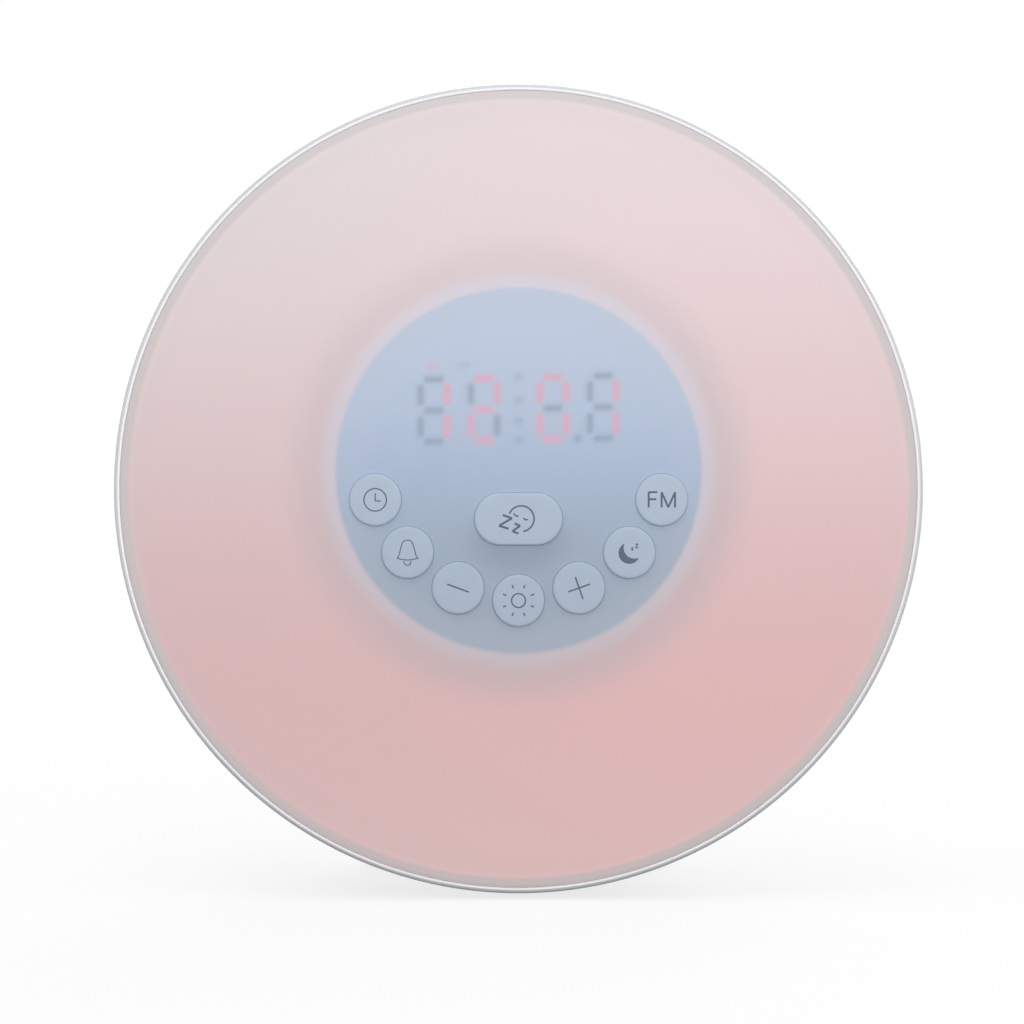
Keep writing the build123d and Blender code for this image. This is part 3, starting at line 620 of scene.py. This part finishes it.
# a mark has its two ends, half its width, and how pink and how dark it is
marks = []
for figure_x, lit_bars in figures.items():
    for (start, end), state in zip(bar_spots, lit_bars):
        tips = [(figure_x + tip[0], figure_up + tip[1]) for tip in (start, end)]
        marks.append((*tips, bar_half, float(state), 1 - float(state)))
for colon_up in (10.2, 14.2, 18.4, 23.4):
    marks.append(((-0.3, colon_up), (0.3, colon_up), bar_half, 0.0, 0.5))
marks.append(((12.4, 10.2), (12.4, 10.21), 0.65, 0.0, 0.9))
marks.append(((-18.6, 26.0), (-17.4, 26.0), 0.7, 0.45, 0.0))
marks.append(((-12.4, 26.0), (-10.8, 26.0), 0.45, 0.0, 0.35))


def nearness(x, up, start, end, half):
    """How strongly a blurred mark shows at a point, from 0 to 1."""
    (start_x, start_up), (end_x, end_up) = start, end
    run_x, run_up = end_x - start_x, end_up - start_up
    along_run = ((x - start_x) * run_x + (up - start_up) * run_up) / (run_x**2 + run_up**2)
    along_run = min(1.0, max(0.0, along_run))
    apart = hypot(x - start_x - along_run * run_x, up - start_up - along_run * run_up)
    return 1 / (1 + exp((apart - half) / bar_blur))


shine = lens.data.color_attributes.new("figures", "FLOAT_COLOR", "POINT")
for point in lens.data.vertices:
    flat_x = point.co.x / mm
    flat_up = (point.co.z - axis_height) / mm
    inside = abs(flat_x) < figure_half and figure_low < flat_up < figure_high
    pink = dark = 0.0
    if inside and at_depth(point.co, lens_front):
        up = flat_up - flat_x * row_slope
        for start, end, half, pinkness, darkness in marks:
            if abs(start[0] - flat_x) < near_across and abs(start[1] - up) < near_up:
                level = nearness(flat_x, up, start, end, half)
                pink = max(pink, level * pinkness)
                dark = max(dark, level * darkness)
    shine.data[point.index].color = (pink, dark, 0, 1)


def colours_up(material, height, stops):
    """Colours that change with the height above the clock's axis, from (millimetres, colour)."""
    low, high = stops[0][0], stops[-1][0]
    share = add(
        material,
        "ShaderNodeMapRange",
        {0: height, 1: axis_height + low * mm, 2: axis_height + high * mm},
    )
    ramp = add(material, "ShaderNodeValToRGB", {0: share.outputs[0]})
    ramp.color_ramp.interpolation = "B_SPLINE"
    points = ramp.color_ramp.elements
    for index, (up, colour) in enumerate(stops):
        where = (up - low) / (high - low)
        if index < 2:
            points[index].position = where
        stop = points[index] if index < 2 else points.new(where)
        stop.color = colour
    return ramp.outputs[0]


frosted = new_look("frosted_acrylic")
lens_at = where_on(frosted)
height = along(frosted, lens_at, "Z")
from_axis = distance_from(frosted, lens_at, 0)
from_pod = distance_from(frosted, lens_at, pod_up)
from_snooze = distance_from(frosted, lens_at, snooze_up - 5, 1.6)
# the glow, pink and strongest low down, and lighter and greyer towards the top, which is painted
# light from above
glow = colours_up(
    frosted,
    height,
    [
        (-82, tone(226, 191, 190)),
        (-45, tone(228, 183, 183)),
        (-20, tone(226, 188, 189)),
        (5, tone(229, 198, 200)),
        (45, tone(235, 215, 217)),
        (82, tone(235, 219, 222)),
    ],
)
left = ease(frosted, along(frosted, lens_at, "X"), 0.03, -0.06)
glow = blended(frosted, left, glow, (0.94, 1.0, 1.0, 1), "MULTIPLY")
uneven = ease(frosted, noise(frosted, lens_at, 26.0, 2.0), 0.2, 0.8, 0.0, 0.15)
glow = blended(frosted, uneven, glow, (0.955, 0.945, 0.95, 1), "MULTIPLY")
# the pod, painted lighter towards the top as painted light from above, and darker low down among
# the buttons as painted shade
pod = colours_up(
    frosted,
    height,
    [
        (-38, tone(160, 169, 185)),
        (-26, tone(157, 169, 185)),
        (-15, tone(156, 171, 188)),
        (-5, tone(164, 179, 200)),
        (5, tone(172, 187, 213)),
        (17, tone(183, 198, 220)),
        (42, tone(195, 207, 226)),
    ],
)
pod = blended(frosted, ease(frosted, from_pod, 29.0, 37.0, 0.0, 0.2), pod, tone(190, 196, 212))
# a painted shadow below the snooze button
snooze_painted_shadow = ease(frosted, from_snooze, 2.5, 9.5, 0.5, 0.0)
pod = blended(frosted, snooze_painted_shadow, pod, tone(128, 144, 160))
halo = colours_up(
    frosted,
    height,
    [(-41, tone(202, 178, 181)), (4, tone(209, 190, 194)), (48, tone(224, 208, 211))],
)
ring = colours_up(
    frosted,
    height,
    [(-38, tone(197, 185, 191)), (4, tone(208, 200, 209)), (44, tone(222, 214, 224))],
)
# the glow outside, then nearer in its halo, the pod's pale ring and the pod, with soft borders;
# the halo and ring are lighter towards the top, partly from the glow and partly as painted light
# from above
face = blended(frosted, ease(frosted, from_pod, 42.0, 52.0), halo, glow)
face = blended(frosted, ease(frosted, from_pod, 39.4, 42.8), ring, face)
face = blended(frosted, ease(frosted, from_pod, 37.6, 38.9), pod, face)
figure_parts = add(frosted, "ShaderNodeAttribute", attribute_name="figures").outputs["Color"]
bars = add(frosted, "ShaderNodeSeparateColor", {0: figure_parts}).outputs
dark_bars = calculate(frosted, "MULTIPLY", bars[1], 0.75)
face = blended(frosted, dark_bars, face, tone(140, 153, 173))
face = blended(frosted, bars[0], face, tone(226, 170, 190))
# the greyer edge of the lens, where less of the glow comes through, and the line where it meets
# the rim, a painted shade in the seam; both are painted lighter at the top, as painted light from
# above
edge_tone = colours_up(
    frosted, height, [(-84, tone(198, 186, 185)), (84, tone(211, 204, 204))]
)
seam_shade_tone = colours_up(
    frosted, height, [(-84, tone(188, 180, 178)), (84, tone(208, 202, 205))]
)
face = blended(frosted, ease(frosted, from_axis, 75.0, 79.5, 0.0, 0.1), face, edge_tone)
face = blended(frosted, ease(frosted, from_axis, 80.9, 82.0), face, edge_tone)
face = blended(frosted, ease(frosted, from_axis, 82.7, 83.2), face, seam_shade_tone)
# a fifth of the face's colour is its own light, and more where the edge meets the rim, partly the
# light that leaks there and partly painted light that lifts the shade of the seam
own_and_painted_light = ease(frosted, from_axis, 80.0, 82.6, 0.2, 0.75)
reflected = calculate(frosted, "SUBTRACT", 1.0, own_and_painted_light)
haze = noise(frosted, lens_at, 900.0, 4.0)
set_look(
    frosted,
    {
        "Base Color": calculate_places(frosted, "SCALE", {0: face, "Scale": reflected}),
        "Emission Color": face,
        "Emission Strength": own_and_painted_light,
        "IOR": acrylic_ior,
        "Roughness": ease(frosted, haze, 0.2, 0.8, 0.5, 0.62),
    },
)
grained(frosted, 0.12, 0.004, 0.25)
fit(lens, "clock", "frosted_lens", frosted, "diffuser_lens")

# ---- Buttons ----
# Caps of the same frosted grey-blue plastic, in holes of the lens that they stand a little proud
# of. Each slides in its hole, has a flange behind the pod's plate, and a stem on its switch.
cap_front = -2.97
cap_round = 0.35
stem_radius, flange_radius = 1.6, 5.9
flange_front, flange_back = 2.3, 3.3
cap_profile = [
    (5.1, stem_radius),
    (flange_back, stem_radius),
    (flange_back, flange_radius),
    (flange_front, flange_radius),
    (flange_front, cap_radius),
    (-2.25, cap_radius),
]
cap_profile += rounding(cap_front + cap_round, cap_radius - cap_round, cap_round, 90, 165, 8)
cap_profile += [(cap_front, cap_radius - 0.6), (cap_front, cap_radius - 1.4)]

frosted_cap = new_look("frosted_cap")
cap_at = where_on(frosted_cap)
# the caps are painted lighter higher up, as painted light from above, and a share of their colour
# is a painted glow that softens their shading
cap_painted_glow = 0.3
cap_colour = colours_up(
    frosted_cap,
    along(frosted_cap, cap_at, "Z"),
    [(-30, tone(165, 179, 196)), (-12, tone(168, 183, 200)), (4, tone(177, 191, 208))],
)
cap_noise = noise(frosted_cap, cap_at, 260.0, 3.0)
cap_clouds = ease(frosted_cap, cap_noise, 0.25, 0.75, 0.0, 0.3)
cap_colour = blended(frosted_cap, cap_clouds, cap_colour, (0.95, 0.955, 0.96, 1), "MULTIPLY")
set_look(
    frosted_cap,
    {
        "Base Color": blended(
            frosted_cap, 1.0, cap_colour, (*[1 - cap_painted_glow] * 3, 1), "MULTIPLY"
        ),
        "Emission Color": cap_colour,
        "Emission Strength": cap_painted_glow,
        "IOR": acrylic_ior,
        "Roughness": ease(frosted_cap, cap_noise, 0.2, 0.8, 0.42, 0.52),
    },
)
grained(frosted_cap, 0.15, 0.005)

for name, (x, up) in button_spots.items():
    cap = turn_round(f"{name}_cap", x, up, cap_profile, 96)
    smooth(cap)
    fit(cap, f"{name}_press", "button_grey_blue", frosted_cap, f"{name}_button")

button_spots["snooze"] = (0, snooze_up)
snooze_cap = turn_round("snooze_cap", 0, snooze_up, cap_profile, 96)
snooze_height = axis_height + snooze_up * mm
edit_where(snooze_cap, "VERT", lambda at: hypot(at.x, at.z - snooze_height) > 2 * mm)
stretch_sideways(snooze_cap, 0, snooze_half - cap_radius)
bpy.ops.object.mode_set(mode="OBJECT")
smooth(snooze_cap)
fit(snooze_cap, "snooze_press", "button_grey_blue", frosted_cap, "snooze_button")

# ---- Signs on the buttons ----
# Thin dark grey print on each cap: plain signs for what it does, as on any clock radio.
# Strokes are lists of (x, up) in millimetres, from the cap's middle.
ink = moulded("grey_print", tone(93, 107, 124), 0.55, 0.1, 0.002, 0.12)
print_height = 0.028


def without_corners(stroke):
    """Parts a stroke where it turns sharply, so that its parts keep their full width."""
    parts = [[stroke[0]]]
    for before, corner, after in zip(stroke, stroke[1:], stroke[2:]):
        parts[-1].append(corner)
        turn_in = atan2(corner[1] - before[1], corner[0] - before[0])
        turn_out = atan2(after[1] - corner[1], after[0] - corner[0])
        if abs((turn_out - turn_in + pi) % (2 * pi) - pi) > radians(60):
            parts.append([corner])
    parts[-1].append(stroke[-1])
    return parts


def draw_line(drawing, points, closed):
    """Adds a line through points to a drawing."""
    line = drawing.splines.new("POLY")
    line.use_cyclic_u = closed
    line.points.add(len(points) - 1)
    for point, (x, up) in zip(line.points, points):
        point.co = (x * mm, up * mm, 0, 1)


def set_print(name, drawing, button):
    """Turns a drawing into a flat print that stands on the front of a cap and rides there."""
    flat = bpy.data.objects.new(name, drawing)
    bpy.context.scene.collection.objects.link(flat)
    select_only(flat)
    bpy.ops.object.convert(target="MESH")
    piece = bpy.context.object
    highest = max(abs(point.co.z) for point in piece.data.vertices)
    piece.scale = (1, 1, print_height * mm / highest)
    piece.rotation_euler = (pi / 2, 0, 0)
    piece.location = place(*button_spots[button], cap_front)
    bpy.ops.object.transform_apply(location=True, rotation=True, scale=True)
    bpy.ops.object.mode_set(mode="EDIT")
    close_skin()
    smooth(piece, 60)
    fit(piece, f"{button}_press", None, ink)


def sign(name, button, width, strokes):
    """Prints strokes of a width on a cap."""
    drawing = bpy.data.curves.new(name, "CURVE")
    drawing.dimensions = "3D"
    drawing.bevel_depth = width / 2 * mm
    drawing.bevel_resolution = 2
    drawing.use_fill_caps = True
    for stroke in [part for whole in strokes for part in without_corners(whole)]:
        closed = stroke[0] == stroke[-1]
        draw_line(drawing, stroke[:-1] if closed else stroke, closed)
    set_print(name, drawing, button)


def bow(x, up, radius, start, end, steps):
    """Points of an arc between two angles in degrees, for a stroke."""
    angles = [radians(start + (end - start) * i / steps) for i in range(steps + 1)]
    return [(x + radius * cos(a), up + radius * sin(a)) for a in angles]


def full_ring(radius):
    """A closed round stroke about the middle."""
    ring_points = bow(0, 0, radius, 0, 360, 48)
    return [*ring_points[:-1], ring_points[0]]


bell = [(-2.2, -1.2), (-1.8, -0.7), (-1.6, 0.05), (-1.35, 1.1)]
bell += bow(0, 1.4, 1.2, 170, 10, 12)
bell += [(1.35, 1.1), (1.6, 0.05), (1.8, -0.7), (2.2, -1.2), (1.0, -1.5), (0, -1.58)]
bell += [(-1.0, -1.5), (-2.2, -1.2)]
clapper = bow(0, -1.95, 0.72, 165, 375, 14)
ray_start, ray_end = 2.75, 3.5
rays = []
for ray in range(8):
    across, above = cos(radians(22.5 + 45 * ray)), sin(radians(22.5 + 45 * ray))
    rays.append([(reach * across, reach * above) for reach in (ray_start, ray_end)])
sign("clock_sign", "clock", 0.27, [full_ring(2.35), [(0, 1.35), (0, -0.25), (1.15, -0.25)]])
sign("alarm_sign", "alarm", 0.22, [bell, clapper])
sign("minus_sign", "minus", 0.34, [[(-2.25, 0.8), (2.25, -0.84)]])
sign("light_sign", "light", 0.3, [full_ring(1.45), *rays])
sign("plus_sign", "plus", 0.34, [[(-2.25, -0.8), (2.3, 0.82)], [(-0.78, 2.3), (0.82, -2.3)]])
sign(
    "radio_sign",
    "radio",
    0.42,
    [
        [(-2.75, -1.6), (-2.75, 1.6), (-0.95, 1.6)],
        [(-2.75, 0.12), (-1.15, 0.12)],
        [(-0.05, -1.6), (-0.05, 1.6), (1.35, -1.55), (2.75, 1.6), (2.75, -1.6)],
    ],
)
sign(
    "snooze_sign",
    "snooze",
    0.34,
    [
        bow(0.57, 0.04, 2.68, 158, -81, 40),
        [(-1.09, 1.12), (-0.5, 0.58), (0.0, 0.56)],
        [(1.0, 0.14), (1.5, -0.2), (1.95, -0.12)],
    ],
)
sign(
    "snooze_letters",
    "snooze",
    0.46,
    [
        [(-3.29, 0.79), (-1.35, 0.14), (-4.07, -1.44), (-2.06, -2.06)],
        [(-0.77, -0.96), (0.34, -1.44), (-1.28, -2.58), (0.01, -3.07)],
    ],
)
sign(
    "sleep_letters",
    "sleep",
    0.24,
    [
        [(0.35, 1.0), (0.75, 1.0), (0.4, 0.5), (0.8, 0.5)],
        [(1.2, 1.75), (1.75, 1.75), (1.25, 1.0), (1.85, 1.0)],
    ],
)
moon = bpy.data.curves.new("sleep_sign", "CURVE")
moon.dimensions = "2D"
moon.fill_mode = "BOTH"
moon.extrude = 0.1 * mm
crescent = bow(-0.05, -0.12, 2.25, 117, 327, 40) + bow(1.02, 0.98, 2.26, 290, 155, 30)
draw_line(moon, crescent, True)
set_print("sleep_sign", moon, "sleep")

# ---- Battery door and contacts ----
# A white moulded door in the back that hooks in along its lower edge, over a bay with bent
# leaf springs and contact plates of nickel-plated steel pressed into its ends.


def metal(name, colour, roughness, drawn=(1, 1, 1), speckle=300.0):
    """Bare or plated metal, with fine drawn lines and duller spots."""
    material = new_look(name)
    at = where_on(material)
    pulled = calculate_places(material, "MULTIPLY", {0: at, 1: drawn})
    lines = noise(material, pulled, 1800.0, 4.0)
    spots = noise(material, at, speckle, 5.0)
    dull = (*[level * 0.72 for level in colour[:3]], 1)
    values = {
        "Metallic": 1.0,
        "Base Color": blended(material, ease(material, spots, 0.35, 0.7), colour, dull),
        "Roughness": ease(material, spots, 0.3, 0.75, roughness * 0.8, roughness * 1.3),
        "Normal": bumps(material, lines, 0.2, 0.01),
    }
    set_look(material, values)
    return material


def soft_edged(node, name, body, finish, look, width, segments=2):
    """Makes a piece from a CAD node's mesh, with its sharp edges rounded."""
    piece = closed_copy(node, name)
    bevel = piece.modifiers.new("round", "BEVEL")
    bevel.width = width * mm
    bevel.segments = segments
    bevel.limit_method = "ANGLE"
    bevel.angle_limit = radians(35)
    bpy.ops.object.modifier_apply(modifier=bevel.name)
    smooth(piece)
    fit(piece, body, finish, look, node)


soft_edged("battery_door", "door_panel", "door", "shell_white", white_plastic, 0.2)
nickel = metal("nickel_plate", tone(206, 204, 196), 0.22, (1, 0.05, 1))
soft_edged("battery_springs", "leaf_springs", "clock", "plated_spring", nickel, 0.12)
soft_edged("battery_contacts", "plates", "clock", "plated_spring", nickel, 0.12)

# ---- Base plate and feet ----
# A white moulded plate, which two screws from below hold in the foot, and four soft rubber pads
# that are stuck to it.
soft_edged("base_plate", "foot_plate", "clock", "shell_white", white_plastic, 0.2)
soft_rubber = moulded("soft_rubber", tone(92, 92, 95), 0.75, 0.25, 0.02, 0.2)
soft_edged("rubber_feet", "soft_pads", "clock", "rubber_grey", soft_rubber, 0.4, 3)

# ---- Power socket ----
# A barrel socket in black moulded plastic that looks out of a pocket low in the back, with a
# nickel-plated pin in the middle.
black_plastic = moulded("black_plastic", tone(40, 40, 43), 0.42, 0.2, 0.008, 0.2)
soft_edged("power_socket", "barrel_socket", "clock", "chip_black", black_plastic, 0.2)
pin_up = -64
pin_radius, pin_round = 0.95, 0.35
pin_base, pin_tip = 50.8, 59.9
pin_profile = [(pin_base, pin_radius), (pin_tip, pin_radius)]
pin_profile += rounding(pin_tip, pin_round, pin_radius - pin_round, 90, 0, 8)
pin = turn_round("round_pin", 0, pin_up, pin_profile, 48)
smooth(pin)
fit(pin, "clock", "plated_spring", nickel, "socket_pin")

# ---- Aerial bush ----
# A soft rubber bush in the back that the aerial wire would come out of: a neck in the housing's
# hole, and a rounded collar outside it.
bush_x, bush_up = 38, -14
bush_profile = [(59.15, 1.3), (58.8, 0.95), (55.7, 0.95)]
bush_profile += [(55.7, 2.25), (58.05, 2.25), (58.05, 3.7)]
bush_profile += rounding(58.55, 3.45, 0.5, -10, 80, 8)[::-1]
bush_profile += [(59.15, 2.6), (59.15, 1.3)]
bush = turn_round("aerial_bush", bush_x, bush_up, bush_profile, 72)
smooth(bush)
fit(bush, "clock", "rubber_grey", soft_rubber, "aerial_gland")

# ---- Screws ----
# Zinc-plated screws with round heads and cross recesses. They hold the housing, the pod, the
# boards and the base plate, all into moulded bosses.
zinc = metal("zinc_plate", tone(190, 192, 196), 0.3, speckle=700.0)
thread_pitch, ridge_half = 0.7, 0.18


def one_screw(head_radius, head_height, shank_radius, length):
    """A screw along the depth at the origin. Its head is behind, and the shank in front."""
    core = shank_radius * 0.8
    outline = [(-length, core * 0.4), (-length + 0.6, core)]
    ridge = -length + 0.9
    while ridge < -0.5:
        outline += [(ridge - ridge_half, core), (ridge, shank_radius), (ridge + ridge_half, core)]
        ridge += thread_pitch
    outline += [(0, core), (0, head_radius), (head_height * 0.45, head_radius * 0.99)]
    outline += [(head_height * 0.8, head_radius * 0.86), (head_height * 0.98, head_radius * 0.6)]
    at_origin = [(depth - rim_front / mm, radius) for depth, radius in outline]
    screw = turn_round("screw", 0, -axis_height / mm, at_origin, 36)
    for turn in (0, pi / 2):
        bpy.ops.object.select_all(action="DESELECT")
        bpy.ops.mesh.primitive_cube_add(
            size=1,
            location=(0, head_height * 0.85 * mm, 0),
            rotation=(0, turn, 0),
            scale=(head_radius * 1.15 * mm, head_height * 0.9 * mm, head_radius * 0.26 * mm),
        )
        blade = bpy.context.object
        bpy.ops.object.transform_apply(location=True, rotation=True, scale=True)
        deep = head_height * 0.6 * mm
        edit_where(blade, "VERT", lambda at: at.y < deep)
        bpy.ops.transform.resize(value=(0.6, 1, 0.6), center_override=(0, 0, 0))
        bpy.ops.object.mode_set(mode="OBJECT")
        combine(screw, blade, "DIFFERENCE")
    return screw


def drive(node, sizes, spots, turn):
    """Copies one screw to all its spots, turned from having its head behind."""
    first = one_screw(*sizes)
    copies = []
    for spot in spots:
        select_only(first)
        bpy.ops.object.duplicate()
        copies.append(bpy.context.object)
        copies[-1].rotation_euler = turn
        copies[-1].location = spot
    bpy.data.objects.remove(first)
    bpy.ops.object.select_all(action="DESELECT")
    for copy in copies:
        copy.select_set(True)
    bpy.context.view_layer.objects.active = copies[0]
    bpy.ops.object.join()
    joined = bpy.context.object
    joined.name = joined.data.name = f"turned_{node}"
    bpy.ops.object.transform_apply(location=True, rotation=True, scale=True)
    smooth(joined)
    fit(joined, "clock", "steel", zinc, node)


def round_about(up, radius, angles, depth):
    """Spots on a circle, at angles in degrees from the right."""
    return [
        place(radius * cos(radians(a)), up + radius * sin(radians(a)), depth) for a in angles
    ]


# each size is the head's radius and height, and the shank's radius and length
large_screw, base_screw = (2.45, 2.15, 1.38, 9.4), (1.85, 1.15, 0.93, 3.9)
short_screw, long_screw = (1.85, 1.17, 0.93, 5.3), (1.85, 1.17, 0.93, 6.9)
head_behind, head_in_front, head_below = (0, 0, 0), (0, 0, pi), (-pi / 2, 0, 0)
housing_spots = [place(x, up, 31) for x, up in well_spots]
pod_spots = round_about(pod_up, 34.6, (90, 210, 330), 19.6)
display_spots = [place(x, up, 11.0) for x, up in ((-30.5, 14.9), (30.5, 14.9), (0, -14.85))]
ring_spots = round_about(0, 51, (37.5, 157.5, 277.5), 16.4)
main_spots = [place(x, -20, 33) for x in (-25, 25)]
foot_spots = [(0, rim_front + depth * mm, 2.4 * mm) for depth in (15, 67)]
drive("housing_screws", large_screw, housing_spots, head_behind)
drive("pod_screws", short_screw, pod_spots, head_behind)
drive("display_board_screws", short_screw, display_spots, head_behind)
drive("led_board_screws", short_screw, ring_spots, head_in_front)
drive("main_board_screws", long_screw, main_spots, head_in_front)
drive("base_screws", base_screw, foot_spots, head_below)

# ---- Speaker ----
# Behind the slots of the back: a square basket in black painted steel, a ferrite magnet, and a
# pressed paper cone with a roll at its edge and a dust cap in the middle.


def dress(look, *nodes):
    """Gives a better material to CAD nodes that stay as they are."""
    for node in nodes:
        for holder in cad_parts[node].material_slots:
            holder.material = look


cone_up = 24
cone_profile = [(48.6, 0.5), (48.5, 2.0), (48.2, 4.0), (47.5, 5.2), (46.9, 5.9), (46.9, 6.6)]
cone_profile += [(48.2, 8.4), (50.1, 10.7), (52.2, 12.9), (52.8, 13.4), (52.95, 13.9)]
cone_profile += [(52.85, 14.3), (52.6, 14.9), (52.9, 14.9), (53.25, 14.4), (53.35, 13.8)]
cone_profile += [(53.15, 13.1), (52.6, 12.6), (50.6, 10.3), (48.7, 8.0), (47.4, 6.4)]
cone_profile += [(47.9, 5.4), (48.5, 4.0), (48.85, 2.0), (48.95, 0.5)]
cone = turn_round("paper_cone", 0, cone_up, cone_profile, 96)
smooth(cone, 50)
black_paper = moulded("black_paper", tone(56, 55, 55), 0.85, 0.35, 0.05, 0.35)
fit(cone, "cone", "cone_paper", black_paper, "speaker_cone")
dress(moulded("black_paint", tone(44, 44, 47), 0.4, 0.5, 0.015, 0.2), "speaker_basket")
dress(moulded("ferrite", tone(62, 61, 62), 0.6, 0.15, 0.02, 0.3), "speaker_magnet")

# ---- Pod and reflector ----
# The pod is a grey-blue moulding that holds display and buttons, screwed to a dish in white
# plastic that throws the lights' glow forward.
dress(moulded("pod_plastic", tone(158, 172, 190), 0.5, 0.3, 0.008, 0.06), "pod_shell")
dress(moulded("dish_plastic", tone(226, 225, 222), 0.55, 0.6, 0.008, 0.05), "reflector")

# ---- Circuit boards ----
# Fibreglass boards with green solder mask: a ring that carries the lights, a round one behind
# the display, and the main one in the back, with the tracks and pads that their parts use.
masked = new_look("green_board")
on_board = where_on(masked)
flat_board = add(
    masked,
    "ShaderNodeCombineXYZ",
    {0: along(masked, on_board, "X"), 1: along(masked, on_board, "Z")},
).outputs[0]
in_mm = calculate_places(masked, "SCALE", {0: flat_board, "Scale": 1 / mm})
tracks = add(
    masked,
    "ShaderNodeTexBrick",
    {
        "Vector": in_mm,
        "Color1": tone(46, 104, 66),
        "Color2": tone(40, 96, 60),
        "Mortar": tone(82, 142, 92),
        "Scale": 1.0,
        "Mortar Size": 0.11,
        "Brick Width": 4.3,
        "Row Height": 1.4,
    },
).outputs["Color"]
from_pad = add(masked, "ShaderNodeTexVoronoi", {"Vector": in_mm, "Scale": 0.3}).outputs["Distance"]
on_pad = ease(masked, from_pad, 0.1, 0.13, 1.0, 0.0)
board_values = {
    "Base Color": blended(masked, on_pad, tracks, tone(198, 170, 98)),
    "Roughness": ease(masked, from_pad, 0.0, 0.6, 0.28, 0.42),
}
set_look(masked, board_values)
grained(masked, 0.5, 0.01, 0.25)
dress(masked, "led_ring_board", "display_board", "main_board")

# ---- Lights and display ----
# Surface-mounted lights, each a white package with yellow phosphor that glows, and the display:
# a dark body with light pipes for its bars.
phosphor = moulded("phosphor", tone(246, 232, 176), 0.4, 0.2, 0.01, 0.15)
set_look(phosphor, {"Emission Color": base_colour(phosphor), "Emission Strength": 0.5})
dress(phosphor, "leds")
dress(moulded("display_body", tone(70, 74, 82), 0.5, 0.3, 0.008, 0.15), "display_module")
light_pipe = moulded("light_pipe", tone(226, 140, 164), 0.4, 0.2, 0.006, 0.12)
set_look(light_pipe, {"Emission Color": base_colour(light_pipe), "Emission Strength": 0.4})
dress(light_pipe, "display_segments")

# ---- Switches and small parts ----
# Tactile switches with black bases and plungers under steel covers, and on the main board the
# chips, crystal, capacitors and connectors, with a flat cable to the display's board.
dress(black_plastic, "switch_bases", *[f"{name}_plunger" for name in button_spots])
dress(black_plastic, "control_chip", "radio_chip", "amplifier_chip")
dress(metal("pressed_steel", tone(196, 197, 200), 0.28, (1, 0.1, 0.1)), "switch_covers")
dress(zinc, "clock_crystal")
dress(moulded("nylon", tone(224, 220, 206), 0.5, 0.3, 0.01, 0.06), "board_connectors")

# a sleeve that leaves the ends of each can bare
sleeved = moulded("sleeved_can", tone(44, 50, 74), 0.3, 0.4, 0.006, 0.15)
facing = add(sleeved, "ShaderNodeTexCoord").outputs["Normal"]
endwise = calculate(sleeved, "ABSOLUTE", along(sleeved, facing, "Y"))
bare_end = ease(sleeved, endwise, 0.85, 0.95)
can_colour = blended(sleeved, bare_end, base_colour(sleeved), tone(200, 202, 206))
set_look(sleeved, {"Base Color": can_colour, "Metallic": bare_end})
dress(sleeved, "capacitors")

flat_cable = moulded("flat_cable", tone(168, 170, 174), 0.45, 0.4, 0.006, 0.08)
wires = add(
    flat_cable,
    "ShaderNodeTexWave",
    {"Vector": where_on(flat_cable), "Scale": 247.0},
    bands_direction="X",
).outputs["Fac"]
between_wires = (0.62, 0.62, 0.64, 1)
cable_colour = blended(flat_cable, wires, base_colour(flat_cable), between_wires, "MULTIPLY")
set_look(flat_cable, {"Base Color": cable_colour})
dress(flat_cable, "ribbon_cable")
